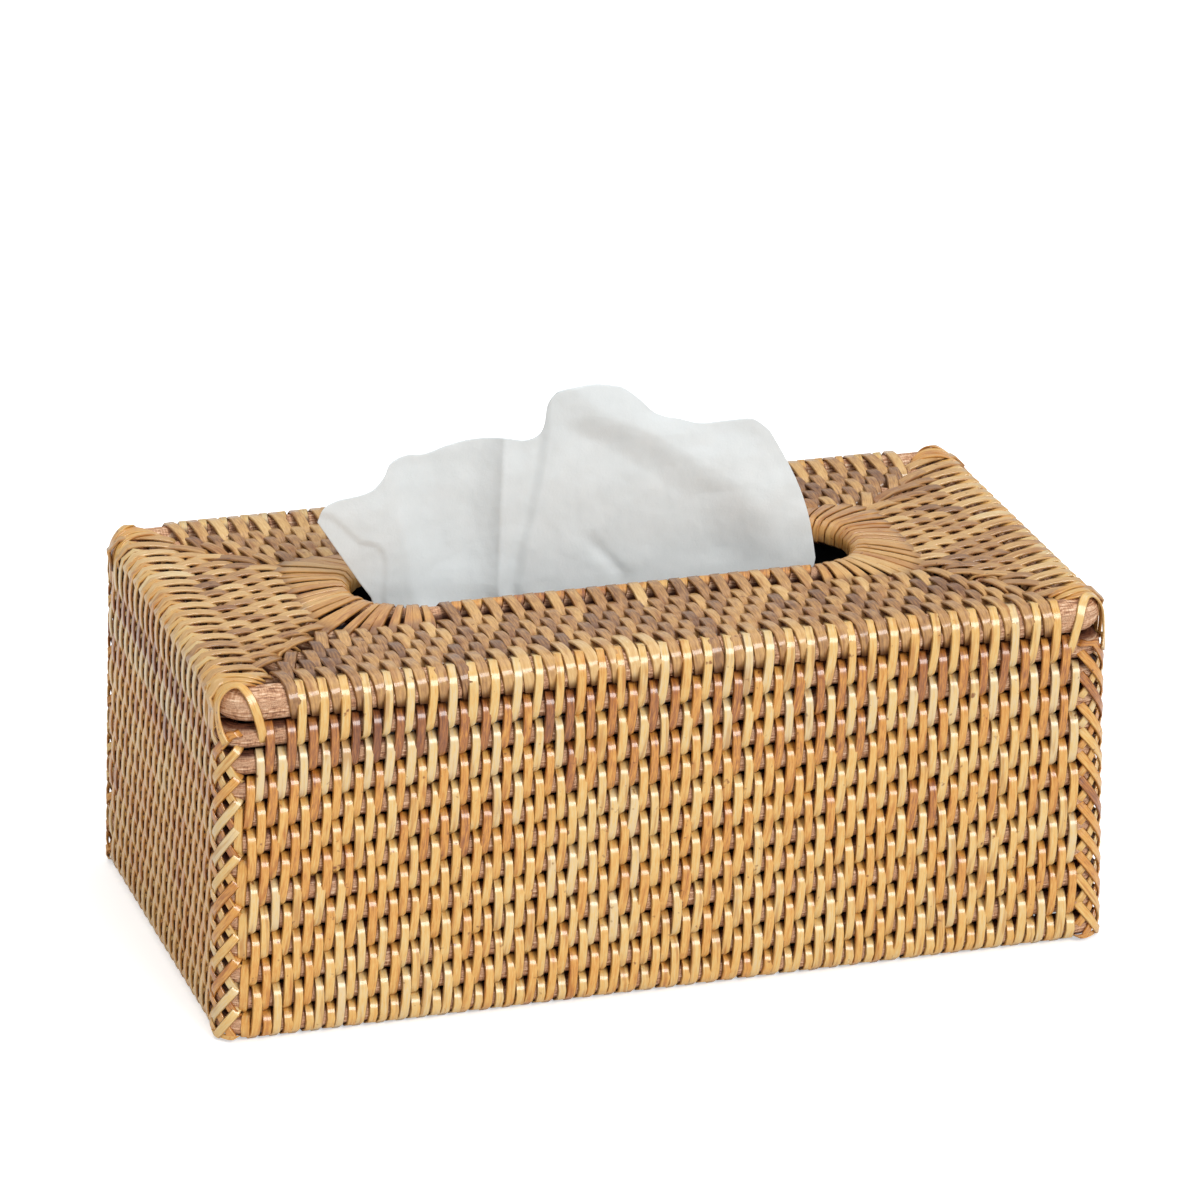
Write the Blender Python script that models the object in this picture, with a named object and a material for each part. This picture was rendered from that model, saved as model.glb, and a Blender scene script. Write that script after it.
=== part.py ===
"""A woven rattan cover standing over a carton of pop-up tissues.

Metres, +Z up. The origin is the middle of the base, X runs along the length.
Round rattan rods are bent into rings and stacked, thick edge rod at the top. Strips of
peel bind each ring to the next, and rings of shrinking size close the top round an oval.
"""
import math

import bmesh
import bpy
from mathutils import Vector

# The cover, outside sizes at its top
COVER_LENGTH = 0.267
COVER_DEPTH = 0.140
COVER_HEIGHT = 0.108
SIDE_FLARE = 0.002
FIT_GAP = 0.0003

# Rattan rods
EDGE_ROD_RADIUS = 0.0046
SIDE_ROD_RADIUS = 0.0034
TOP_ROD_RADIUS = 0.0026
RIM_ROD_RADIUS = 0.0034
ROD_FACETS = 6
BEND_STEPS = 3
TOP_BEND_STEPS = 2
EDGE_BEND_RADIUS = 0.0060
SIDE_BEND_RADIUS = 0.0063
TOP_BEND_RADIUS = 0.0040
TOP_BEND_GROWTH = 0.0018

# Woven binding
COLUMN_WIDTH = 0.00315
STITCH_RISE = 0.0016
STITCH_DIP = 0.0020
INNER_WALL = 0.0006
FIRST_WEB = 0.0008
SIDE_WEB = 0.0005
TOP_WEB = 0.0004
FOOT_WRAP = 0.0010
FOOT_EASE = 0.0004
DECK_DROP = 0.0012

# The top's width from the outer face to the oval, more at the round ends, and the oval's rim
DECK_WIDTH = 0.053
DECK_END_EXTRA = 0.0025
RIM_WRAP = 0.0010
RIM_GROOVE = 0.0005
RIM_WRAPS = 14
RIM_STEPS = 6
OVAL_STEPS = 8

# Crossed lashing over the bare rods at each upright corner
LASH_WIDTH = 0.0026
LASH_THICKNESS = 0.0007

# Carton of tissues under the cover, and the clearances that let the cover slip over it
CARTON_END_CLEARANCE = 0.0079
CARTON_SIDE_CLEARANCE = 0.0034
CARTON_HEADROOM = 0.0108
CARD = 0.0008
CARTON_EDGE = 0.0012
CARTON_SLOT_LENGTH = 0.140
CARTON_SLOT_WIDTH = 0.026
STACK_CLEARANCE = 0.0035
STACK_HEADROOM = 0.0031
STACK_EDGE = 0.003

# The tissue that stands up through the oval
TISSUE_OVERHANG = 0.008
TISSUE_LEFT_CLEARANCE = 0.0075
TISSUE_RIGHT_CLEARANCE = 0.0126
TISSUE_SLOT_CLEARANCE = 0.0132
TISSUE_RISE = 0.055
TISSUE_THICKNESS = 0.0008
TISSUE_FOLD = 0.0085
TISSUE_NECK_FOLD = 0.0030
TISSUE_BULGE = 0.0050
TISSUE_COLUMNS = 26
TISSUE_NECK_ROWS = 2
TISSUE_ROWS = 8

# Cutters run past what they cut by this much
OVERRUN = 0.006
FLAT_ANGLE = math.radians(0.2)
CUT_TOLERANCE = FIT_GAP / 1000

HALF_LENGTH = COVER_LENGTH / 2
HALF_DEPTH = COVER_DEPTH / 2
OPENING_LENGTH = COVER_LENGTH - 2 * (DECK_WIDTH + DECK_END_EXTRA)
OPENING_WIDTH = COVER_DEPTH - 2 * DECK_WIDTH
HALF_STRAIGHT = (OPENING_LENGTH - OPENING_WIDTH) / 2

# Depths are measured inward from the outer face, heights upward from the table
EDGE_INSET = STITCH_RISE + FIT_GAP + EDGE_ROD_RADIUS
SIDE_INSET = STITCH_RISE + FIT_GAP + SIDE_ROD_RADIUS
CROWN_RADIUS = EDGE_ROD_RADIUS + FIT_GAP + STITCH_RISE
CROWN_INNER = EDGE_INSET + EDGE_ROD_RADIUS + FIT_GAP + INNER_WALL
CORNER_ZONE = CROWN_INNER + FIT_GAP
WALL_INNER = SIDE_INSET + SIDE_ROD_RADIUS + FIT_GAP + INNER_WALL
EDGE_ROD_HEIGHT = COVER_HEIGHT - CROWN_RADIUS
FIRST_ROD_DROP = EDGE_ROD_RADIUS + SIDE_ROD_RADIUS + 2 * FIT_GAP + FIRST_WEB
LAST_ROD_HEIGHT = FOOT_WRAP + FIT_GAP + SIDE_ROD_RADIUS
SIDE_RUN = EDGE_ROD_HEIGHT - FIRST_ROD_DROP - LAST_ROD_HEIGHT
SIDE_RODS = 1 + int(SIDE_RUN / (2 * (SIDE_ROD_RADIUS + FIT_GAP) + SIDE_WEB))
SIDE_PITCH = SIDE_RUN / (SIDE_RODS - 1)

RIM_RADIUS = OPENING_WIDTH / 2 + RIM_WRAP + FIT_GAP + RIM_ROD_RADIUS
RIM_SLEEVE = RIM_ROD_RADIUS + FIT_GAP + RIM_WRAP
RIM_INSET = HALF_DEPTH - RIM_RADIUS
DECK_TOP = COVER_HEIGHT - DECK_DROP
DECK_ROD_HEIGHT = DECK_TOP - STITCH_RISE - FIT_GAP - TOP_ROD_RADIUS
DECK_UNDERSIDE = DECK_ROD_HEIGHT - TOP_ROD_RADIUS - FIT_GAP - INNER_WALL
DECK_OUTER = CROWN_INNER + FIT_GAP
FIRST_TOP_INSET = DECK_OUTER + INNER_WALL + FIT_GAP + TOP_ROD_RADIUS
LAST_TOP_INSET = RIM_INSET - RIM_SLEEVE - FIT_GAP - TOP_ROD_RADIUS
TOP_RUN = LAST_TOP_INSET - FIRST_TOP_INSET
TOP_RODS = 1 + int(TOP_RUN / (2 * (TOP_ROD_RADIUS + FIT_GAP) + TOP_WEB))
TOP_PITCH = TOP_RUN / (TOP_RODS - 1)
RIM_ROD_HEIGHT = DECK_TOP - RIM_SLEEVE

CARTON_LENGTH = COVER_LENGTH - 2 * (WALL_INNER + CARTON_END_CLEARANCE)
CARTON_DEPTH = COVER_DEPTH - 2 * (WALL_INNER + CARTON_SIDE_CLEARANCE)
CARTON_HEIGHT = DECK_UNDERSIDE - CARTON_HEADROOM
STACK_FOOT = CARD + FIT_GAP
STACK_TOP = CARTON_HEIGHT - CARD - STACK_HEADROOM
STACK_LENGTH = CARTON_LENGTH - 2 * (CARD + STACK_CLEARANCE)
STACK_DEPTH = CARTON_DEPTH - 2 * (CARD + STACK_CLEARANCE)

TISSUE_FOOT = STACK_TOP + FIT_GAP
TISSUE_SPAN = OPENING_LENGTH / 2 + TISSUE_OVERHANG
TISSUE_LEFT = TISSUE_LEFT_CLEARANCE - OPENING_LENGTH / 2
TISSUE_RIGHT = OPENING_LENGTH / 2 - TISSUE_RIGHT_CLEARANCE
TISSUE_NECK = CARTON_SLOT_LENGTH / 2 - TISSUE_SLOT_CLEARANCE

# Where the tissue's upper edge runs, as shares of its span, its rise and its fold
TISSUE_TOP_SHARES = (
    (-1.00, 0.38, 0.55), (-0.93, 0.48, 0.40), (-0.81, 0.54, 0.10), (-0.74, 0.67, -0.20),
    (-0.63, 0.71, -0.45), (-0.48, 0.75, -0.55), (-0.34, 0.75, 0.35), (-0.28, 0.73, -0.30),
    (-0.215, 0.80, 0.30), (-0.185, 0.92, 0.75), (-0.14, 0.99, 0.80), (-0.04, 1.00, 0.35),
    (0.07, 0.96, -0.25), (0.18, 0.83, -0.45), (0.30, 0.75, 0.05), (0.42, 0.73, 0.40),
    (0.57, 0.69, -0.20),
)


def side_flare(height):
    """How far the woven wall stands out at a height, as it leans outward to its foot."""
    return SIDE_FLARE * (1 - height / COVER_HEIGHT)


def side_rod_height(index):
    return LAST_ROD_HEIGHT + SIDE_PITCH * (SIDE_RODS - index)


def top_rod_inset(index):
    return FIRST_TOP_INSET + TOP_PITCH * (index - 1)


def top_bend_radius(index):
    return TOP_BEND_RADIUS + TOP_BEND_GROWTH * (index - 1)


# The four walls: direction along the wall seen from outside, outward direction, half sizes
WALLS = {
    "front": (Vector((1, 0, 0)), Vector((0, -1, 0)), HALF_DEPTH, HALF_LENGTH),
    "right": (Vector((0, 1, 0)), Vector((1, 0, 0)), HALF_LENGTH, HALF_DEPTH),
    "back": (Vector((-1, 0, 0)), Vector((0, 1, 0)), HALF_DEPTH, HALF_LENGTH),
    "left": (Vector((0, -1, 0)), Vector((-1, 0, 0)), HALF_LENGTH, HALF_DEPTH),
}
UP = Vector((0, 0, 1))


def paint(obj, colour, roughness, metallic=0.0):
    material = bpy.data.materials.new(obj.name)
    material.use_nodes = True
    shader = material.node_tree.nodes["Principled BSDF"]
    shader.inputs["Base Color"].default_value = (*colour, 1)
    shader.inputs["Roughness"].default_value = roughness
    shader.inputs["Metallic"].default_value = metallic
    obj.data.materials.clear()
    obj.data.materials.append(material)


def object_from(name, bm, parent=None):
    """Turn a bmesh into an object with its faces pointing outward."""
    bmesh.ops.recalc_face_normals(bm, faces=bm.faces)
    mesh = bpy.data.meshes.new(name)
    bm.to_mesh(mesh)
    bm.free()
    obj = bpy.data.objects.new(name, mesh)
    bpy.context.collection.objects.link(obj)
    if parent is not None:
        obj.parent = parent
    return obj


def hide_cutter(obj):
    obj.hide_render = True
    obj.display_type = "WIRE"


def carve(obj, *cutters):
    for cutter in cutters:
        cut = obj.modifiers.new("Cut " + cutter.name, "BOOLEAN")
        cut.operation = "DIFFERENCE"
        cut.solver = "EXACT"
        cut.object = cutter


def arc(centre_x, centre_y, radius, start, sweep, steps):
    """Points on a flat arc, both ends included; angles in radians."""
    points = []
    for step in range(steps + 1):
        angle = start + sweep * step / steps
        points.append((centre_x + radius * math.cos(angle), centre_y + radius * math.sin(angle)))
    return points


def rounded_ring(half_x, half_y, radius, steps=BEND_STEPS):
    """A closed rectangle with round corners, anticlockwise seen from above."""
    quarter = math.pi / 2
    points = []
    corners = ((1, 1), (-1, 1), (-1, -1), (1, -1))
    for turn, (sign_x, sign_y) in enumerate(corners):
        centre_x = sign_x * (half_x - radius)
        centre_y = sign_y * (half_y - radius)
        points += arc(centre_x, centre_y, radius, turn * quarter, quarter, steps)
    return points


def oval_ring(half_straight, radius, steps):
    """A closed oval of two half circles joined by straight runs, anticlockwise."""
    right = arc(half_straight, 0, radius, -math.pi / 2, math.pi, steps)
    left = arc(-half_straight, 0, radius, math.pi / 2, math.pi, steps)
    return right + left


def ring_frames(points, closed):
    """For each point of a flat path: its outward direction, stretched at the mitre."""
    frames = []
    count = len(points)
    for index in range(count):
        here = Vector(points[index])
        before = Vector(points[index - 1]) if closed or index > 0 else None
        after = Vector(points[(index + 1) % count]) if closed or index < count - 1 else None
        runs = []
        if before is not None:
            runs.append((here - before).normalized())
        if after is not None:
            runs.append((after - here).normalized())
        normals = [Vector((run.y, -run.x)) for run in runs]
        outward = sum(normals, Vector((0, 0))).normalized()
        outward /= outward.dot(normals[0])
        frames.append(outward)
    return frames


def sweep(bm, points, height, radii, facets, closed):
    """Sweep a polygon section along a flat path at one height into the bmesh."""
    frames = ring_frames(points, closed)
    rings = []
    for index, point in enumerate(points):
        ring = []
        for facet in range(facets):
            angle = 2 * math.pi * facet / facets
            out = radii[index] * math.cos(angle)
            rise = radii[index] * math.sin(angle)
            x = point[0] + frames[index].x * out
            y = point[1] + frames[index].y * out
            ring.append(bm.verts.new((x, y, height + rise)))
        rings.append(ring)
    spans = len(rings) if closed else len(rings) - 1
    for index in range(spans):
        this_ring = rings[index]
        next_ring = rings[(index + 1) % len(rings)]
        for facet in range(facets):
            nxt = (facet + 1) % facets
            bm.faces.new((this_ring[facet], this_ring[nxt], next_ring[nxt], next_ring[facet]))
    if not closed:
        bm.faces.new(rings[0])
        bm.faces.new(reversed(rings[-1]))


def rod_ring(name, points, height, radius, parent):
    bm = bmesh.new()
    sweep(bm, points, height, [radius] * len(points), ROD_FACETS, True)
    rod = object_from(name, bm, parent)
    rod.data.shade_smooth()
    paint(rod, (0.36, 0.19, 0.10), 0.7)
    return rod


def bore_cutter(name, rings):
    """One cutter that leaves a fit gap round every rod of the list."""
    clearance = FIT_GAP / math.cos(math.pi / ROD_FACETS)
    bm = bmesh.new()
    for points, height, radius in rings:
        sweep(bm, points, height, [radius + clearance] * len(points), ROD_FACETS, True)
    cutter = object_from(name, bm)
    hide_cutter(cutter)
    return cutter


def prism_cutter(name, outline, bottom, top):
    """An upright prism over a flat outline."""
    bm = bmesh.new()
    low = [bm.verts.new((x, y, bottom)) for x, y in outline]
    high = [bm.verts.new((x, y, top)) for x, y in outline]
    count = len(outline)
    for index in range(count):
        nxt = (index + 1) % count
        bm.faces.new((low[index], low[nxt], high[nxt], high[index]))
    bm.faces.new(low)
    bm.faces.new(high)
    cutter = object_from(name, bm)
    hide_cutter(cutter)
    return cutter


def woven_solid(wall, half_run, profile, flared):
    """A closed solid along one wall, whose relief points stand high and low by turns.

    profile holds (inset, height, dip direction, dip, row) for each point of the outline;
    row is None on the plain faces. A cell's diagonal joins its two high points, so the
    strips of peel show as crossing ridges.
    """
    along, outward, half_out, _ = WALLS[wall]
    columns = 2 * round(half_run / COLUMN_WIDTH)
    bm = bmesh.new()
    stations = []
    for column in range(columns + 1):
        run = -half_run + 2 * half_run * column / columns
        station = []
        for inset, height, direction, dip, row in profile:
            low = row is not None and (column + row) % 2 == 1
            depth = inset + (direction[0] * dip if low else 0)
            level = height + (direction[1] * dip if low else 0)
            lean = side_flare(level) if flared else 0
            place = along * run + outward * (half_out - depth + lean) + UP * level
            station.append((bm.verts.new(place), low))
        stations.append(station)
    count = len(profile)
    for column in range(columns):
        near = stations[column]
        far = stations[column + 1]
        for index in range(count):
            nxt = (index + 1) % count
            corners = (near[index], near[nxt], far[nxt], far[index])
            relief = profile[index][4] is not None or profile[nxt][4] is not None
            if not relief:
                bm.faces.new([corner[0] for corner in corners])
                continue
            lows = [corner[1] for corner in corners]
            start = 1 if lows[0] or lows[2] else 0
            ring = [corner[0] for corner in corners]
            bm.faces.new((ring[start], ring[start + 1], ring[start + 2]))
            bm.faces.new((ring[start], ring[start + 2], ring[(start + 3) % 4]))
    bm.faces.new([corner[0] for corner in stations[0]])
    bm.faces.new([corner[0] for corner in reversed(stations[-1])])
    bmesh.ops.recalc_face_normals(bm, faces=bm.faces)
    bmesh.ops.dissolve_limit(bm, angle_limit=FLAT_ANGLE, verts=bm.verts, edges=bm.edges)
    return bm


def wall_profile():
    """Outline of a side wall, from its inner foot round the outside to the inner crown."""
    inward = (1, 0)
    plain = ((0, 0), 0, None)
    profile = [(WALL_INNER, 0, *plain), (FOOT_EASE, 0, *plain)]
    for row in range(SIDE_RODS - 1, -1, -1):
        below = side_rod_height(row + 1)
        above = side_rod_height(row) if row > 0 else EDGE_ROD_HEIGHT
        upper_radius = SIDE_ROD_RADIUS if row > 0 else EDGE_ROD_RADIUS
        groove = (below + SIDE_ROD_RADIUS + above - upper_radius) / 2
        profile.append((0, groove, inward, STITCH_DIP, row))
    for degrees in (5, 40, 75, 110):
        angle = math.radians(degrees)
        inset = EDGE_INSET - CROWN_RADIUS * math.cos(angle)
        height = EDGE_ROD_HEIGHT + CROWN_RADIUS * math.sin(angle)
        profile.append((inset, height, *plain))
    shoulder = EDGE_ROD_HEIGHT + EDGE_ROD_RADIUS
    hip = EDGE_ROD_HEIGHT - EDGE_ROD_RADIUS - FIT_GAP - INNER_WALL
    profile.append((CROWN_INNER, shoulder - STITCH_RISE, *plain))
    profile.append((CROWN_INNER, hip, *plain))
    profile.append((WALL_INNER, hip - (CROWN_INNER - WALL_INNER), *plain))
    return profile


def deck_rows(with_rim):
    """Relief points of the deck from its outer edge inwards, one between two rods."""
    down = (0, -1)
    rows = [(DECK_OUTER, DECK_TOP - STITCH_DIP / 2, down, STITCH_DIP / 2, 0)]
    last = TOP_RODS if with_rim else TOP_RODS - 1
    for row in range(1, last + 1):
        near = top_rod_inset(row)
        far = top_rod_inset(row + 1) if row < TOP_RODS else RIM_INSET
        rows.append(((near + far) / 2, DECK_TOP, down, STITCH_DIP, row))
    return rows


def long_deck_profile():
    """Outline of the front or back part of the deck, ending round the rim rod."""
    plain = ((0, 0), 0, None)
    profile = [(DECK_OUTER, DECK_UNDERSIDE, *plain)] + deck_rows(True)
    for degrees in (90, 40, -10, -60, -110):
        angle = math.radians(degrees)
        inset = RIM_INSET + RIM_SLEEVE * math.cos(angle)
        height = RIM_ROD_HEIGHT + RIM_SLEEVE * math.sin(angle)
        profile.append((inset, height, *plain))
    last_inset = profile[-1][0]
    profile.append((last_inset - (DECK_UNDERSIDE - profile[-1][1]), DECK_UNDERSIDE, *plain))
    return profile


def short_deck_profile(inner_inset):
    """Outline of the left or right part of the deck, ending under the rim wrap's reach."""
    plain = ((0, 0), 0, None)
    profile = [(DECK_OUTER, DECK_UNDERSIDE, *plain)] + deck_rows(False)
    profile.append((inner_inset, DECK_TOP - STITCH_DIP / 2, *plain))
    profile.append((inner_inset, DECK_UNDERSIDE, *plain))
    return profile


def mitre(bm, wall):
    """Cut both ends of a deck part along the 45 degree lines from the outer corners."""
    along, outward, half_out, half_run = WALLS[wall]
    for sign in (-1, 1):
        corner = along * (sign * half_run) + outward * half_out
        normal = (along * sign - outward).normalized()
        point = corner - normal * (FIT_GAP / 2)
        geometry = bm.verts[:] + bm.edges[:] + bm.faces[:]
        cut = bmesh.ops.bisect_plane(
            bm, geom=geometry, dist=CUT_TOLERANCE, plane_co=point, plane_no=normal,
            clear_outer=True)
        rim = [item for item in cut["geom_cut"] if isinstance(item, bmesh.types.BMEdge)]
        bmesh.ops.edgeloop_fill(bm, edges=rim)


def lashing_spot(turn, share, height, out):
    """A point at a share of the way round an upright corner, out from the rods' middle."""
    reach = side_flare(height) - SIDE_INSET
    path = rounded_ring(HALF_LENGTH + reach, HALF_DEPTH + reach, SIDE_BEND_RADIUS)
    frames = ring_frames(path, True)
    place = share * BEND_STEPS
    near = min(int(place), BEND_STEPS - 1)
    first = turn * (BEND_STEPS + 1) + near
    start = Vector(path[first]) + frames[first] * out
    end = Vector(path[first + 1]) + frames[first + 1] * out
    flat_place = start.lerp(end, place - near)
    return (flat_place.x, flat_place.y, height)


def lashing(name, turn, lift, first_end):
    """One strip of peel that zigzags down a corner, a leg for each rod.

    Its left edge, seen along its run, is inside at one end's turns and outside at the other's.
    """
    top = side_rod_height(1) + SIDE_PITCH / 2
    drop = (top - side_rod_height(SIDE_RODS)) / SIDE_RODS
    arc_run = (SIDE_BEND_RADIUS + SIDE_ROD_RADIUS) * math.pi / 2
    leg = math.hypot(arc_run, drop)
    turn_share = LASH_WIDTH * leg / drop / arc_run
    half_rise = LASH_WIDTH / 2 * leg / arc_run
    edges = []
    for row in range(SIDE_RODS + 1):
        rightward = (row + first_end) % 2 == 0
        height = top - drop * row
        if rightward:
            edges.append(((turn_share, height), (0, height)))
        else:
            edges.append(((1, height), (1 - turn_share, height)))
        if row == SIDE_RODS:
            break
        for step in range(1, BEND_STEPS):
            part = step / BEND_STEPS
            level = height - drop * part
            share = part if rightward else 1 - part
            rise = half_rise if rightward else -half_rise
            edges.append(((share, level + rise), (share, level - rise)))
    bm = bmesh.new()
    rings = []
    inner = SIDE_ROD_RADIUS + lift
    outer = inner + LASH_THICKNESS
    for left, right in edges:
        spots = [lashing_spot(turn, *left, inner), lashing_spot(turn, *left, outer),
                 lashing_spot(turn, *right, outer), lashing_spot(turn, *right, inner)]
        rings.append([bm.verts.new(spot) for spot in spots])
    for near, far in zip(rings, rings[1:]):
        for index in range(4):
            nxt = (index + 1) % 4
            bm.faces.new((near[index], near[nxt], far[nxt], far[index]))
    bm.faces.new(rings[0])
    bm.faces.new(reversed(rings[-1]))
    strip = object_from(name, bm, cover_body)
    paint(strip, (0.60, 0.40, 0.19), 0.5)


def box_mesh(name, length, depth, bottom, top, parent=None):
    bm = bmesh.new()
    bmesh.ops.create_cube(bm, size=1)
    bmesh.ops.scale(bm, vec=(length, depth, top - bottom), verts=bm.verts)
    bmesh.ops.translate(bm, vec=(0, 0, (top + bottom) / 2), verts=bm.verts)
    return object_from(name, bm, parent)


def soften(obj, width, segments):
    bevel = obj.modifiers.new("Softened edges", "BEVEL")
    bevel.width = width
    bevel.segments = segments
    bevel.limit_method = "ANGLE"


def smooth_share(share):
    return share * share * (3 - 2 * share)


def catmull(values, place):
    """A smooth curve through equally spaced values, read at a fractional place."""
    last = len(values) - 1
    index = min(int(place), last - 1)
    part = place - index
    before = values[max(index - 1, 0)]
    start = values[index]
    end = values[index + 1]
    after = values[min(index + 2, last)]
    return 0.5 * (
        2 * start + (end - before) * part
        + (2 * before - 5 * start + 4 * end - after) * part ** 2
        + (3 * start - before - 3 * end + after) * part ** 3)


def tissue_point(across, up):
    """A point of the tissue: across runs 0 to 1 along it, up from -1 (end) to 1 (edge)."""
    place = across * (len(TISSUE_TOP_SHARES) - 1)
    top_x = TISSUE_SPAN * catmull([row[0] for row in TISSUE_TOP_SHARES], place)
    top_z = DECK_TOP + TISSUE_RISE * catmull([row[1] for row in TISSUE_TOP_SHARES], place)
    top_y = -TISSUE_FOLD * catmull([row[2] for row in TISSUE_TOP_SHARES], place)
    rim_x = TISSUE_LEFT + (TISSUE_RIGHT - TISSUE_LEFT) * across
    neck_x = TISSUE_NECK * (2 * across - 1)
    ripple = -TISSUE_NECK_FOLD * math.sin(2 * math.pi * place / 3)
    if up < 0:
        return Vector((
            rim_x + (neck_x - rim_x) * smooth_share(-up),
            ripple,
            DECK_TOP + (TISSUE_FOOT - DECK_TOP) * -up))
    bulge = TISSUE_BULGE * math.sin(math.pi * up) * max(2 * across - 1, 0) ** 2
    return Vector((
        rim_x + (top_x - rim_x) * up + bulge,
        ripple + (top_y - ripple) * smooth_share(up),
        DECK_TOP + (top_z - DECK_TOP) * up))


for existing in list(bpy.data.objects):
    bpy.data.objects.remove(existing, do_unlink=True)

carton_body = bpy.data.objects.new("carton_body", None)
cover_body = bpy.data.objects.new("cover_body", None)
tissue_body = bpy.data.objects.new("tissue_body", None)
for body in (carton_body, cover_body, tissue_body):
    bpy.context.collection.objects.link(body)

# Rods bent into rings, from the thick edge rod down the sides and in over the top
side_rings = []
for index in range(SIDE_RODS + 1):
    if index == 0:
        height = EDGE_ROD_HEIGHT
        inset = EDGE_INSET
        bend = EDGE_BEND_RADIUS
        radius = EDGE_ROD_RADIUS
        rod_name = "edge_rod"
    else:
        height = side_rod_height(index)
        inset = SIDE_INSET
        bend = SIDE_BEND_RADIUS
        radius = SIDE_ROD_RADIUS
        rod_name = f"side_rod_{index:02d}"
    lean = side_flare(height)
    ring = rounded_ring(HALF_LENGTH - inset + lean, HALF_DEPTH - inset + lean, bend)
    side_rings.append((ring, height, radius))
    rod_ring(rod_name, ring, height, radius, cover_body)

deck_rings = []
for index in range(1, TOP_RODS + 1):
    inset = top_rod_inset(index)
    ring = rounded_ring(HALF_LENGTH - inset, HALF_DEPTH - inset, top_bend_radius(index),
                        TOP_BEND_STEPS)
    deck_rings.append((ring, DECK_ROD_HEIGHT, TOP_ROD_RADIUS))
    rod_ring(f"top_rod_{index}", ring, DECK_ROD_HEIGHT, TOP_ROD_RADIUS, cover_body)

rim_ring = (oval_ring(HALF_STRAIGHT, RIM_RADIUS, OVAL_STEPS), RIM_ROD_HEIGHT, RIM_ROD_RADIUS)
rod_ring("rim_rod", *rim_ring, cover_body)

side_bores = bore_cutter("side_bores", side_rings)
deck_bores = bore_cutter("deck_bores", deck_rings)
rim_bore = bore_cutter("rim_bore", [rim_ring])

# Woven walls, bored for the rods that run through them
for wall, wall_sizes in WALLS.items():
    bm = woven_solid(wall, wall_sizes[3] - CORNER_ZONE, wall_profile(), True)
    panel = object_from(f"{wall}_weave", bm, cover_body)
    carve(panel, side_bores)
    paint(panel, (0.55, 0.34, 0.15), 0.55)

# The deck in four mitred parts round the oval
wrap_reach = RIM_RADIUS + RIM_SLEEVE + FIT_GAP
round_end_cutters = []
for sign in (-1, 1):
    outline = arc(0, 0, wrap_reach, -math.pi / 2, math.pi, 2 * OVAL_STEPS)
    outline = [(sign * (HALF_STRAIGHT + x), y) for x, y in outline]
    side_word = "right" if sign > 0 else "left"
    bottom = RIM_ROD_HEIGHT - RIM_SLEEVE - OVERRUN
    cutter = prism_cutter(f"{side_word}_round_end", outline, bottom, COVER_HEIGHT + OVERRUN)
    round_end_cutters.append(cutter)

for wall in ("front", "back"):
    half_run = HALF_LENGTH - DECK_OUTER
    bm = woven_solid(wall, half_run, long_deck_profile(), False)
    mitre(bm, wall)
    deck = object_from(f"deck_{wall}_weave", bm, cover_body)
    carve(deck, *round_end_cutters, deck_bores, rim_bore)
    paint(deck, (0.50, 0.35, 0.19), 0.6)

tip = HALF_LENGTH - HALF_STRAIGHT - wrap_reach / math.sqrt(2)
for wall, cutter in (("left", round_end_cutters[0]), ("right", round_end_cutters[1])):
    half_run = HALF_DEPTH - DECK_OUTER
    bm = woven_solid(wall, half_run, short_deck_profile(tip), False)
    mitre(bm, wall)
    deck = object_from(f"deck_{wall}_weave", bm, cover_body)
    carve(deck, cutter, deck_bores)
    paint(deck, (0.46, 0.32, 0.19), 0.6)

# Peel wrapped close round the rim rod at both round ends
for sign, side_word in ((-1, "left"), (1, "right")):
    start = -math.pi / 2 if sign > 0 else math.pi / 2
    gap_angle = FIT_GAP / RIM_RADIUS
    path = arc(sign * HALF_STRAIGHT, 0, RIM_RADIUS, start + gap_angle,
               math.pi - 2 * gap_angle, 2 * RIM_WRAPS)
    radii = [RIM_SLEEVE - (RIM_GROOVE if step % 2 == 0 else 0) for step in range(len(path))]
    bm = bmesh.new()
    sweep(bm, path, RIM_ROD_HEIGHT, radii, RIM_STEPS, False)
    wrap = object_from(f"rim_wrap_{side_word}", bm, cover_body)
    carve(wrap, rim_bore)
    paint(wrap, (0.62, 0.38, 0.15), 0.45)

# Crossed strips over the bare rods at each upright corner, one strip over the other
for turn, corner in enumerate(("back_right", "back_left", "front_left", "front_right")):
    lashing(f"{corner}_under_lashing", turn, FIT_GAP, 0)
    lashing(f"{corner}_over_lashing", turn, 2 * FIT_GAP + LASH_THICKNESS, 1)

# Carton of folded tissues with an oval slot in its lid
carton = box_mesh("carton", CARTON_LENGTH, CARTON_DEPTH, 0, CARTON_HEIGHT, carton_body)
hollow = box_mesh("carton_hollow", CARTON_LENGTH - 2 * CARD, CARTON_DEPTH - 2 * CARD,
                  CARD, CARTON_HEIGHT - CARD)
slot_straight = (CARTON_SLOT_LENGTH - CARTON_SLOT_WIDTH) / 2
slot = prism_cutter("carton_slot", oval_ring(slot_straight, CARTON_SLOT_WIDTH / 2, OVAL_STEPS),
                    CARTON_HEIGHT - OVERRUN, CARTON_HEIGHT + OVERRUN)
hide_cutter(hollow)
soften(carton, CARTON_EDGE / 2, 2)
carve(carton, hollow, slot)
paint(carton, (0.80, 0.80, 0.78), 0.6)

stack = box_mesh("tissue_stack", STACK_LENGTH, STACK_DEPTH, STACK_FOOT, STACK_TOP, carton_body)
soften(stack, STACK_EDGE, 2)
paint(stack, (0.90, 0.90, 0.89), 0.9)

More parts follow.
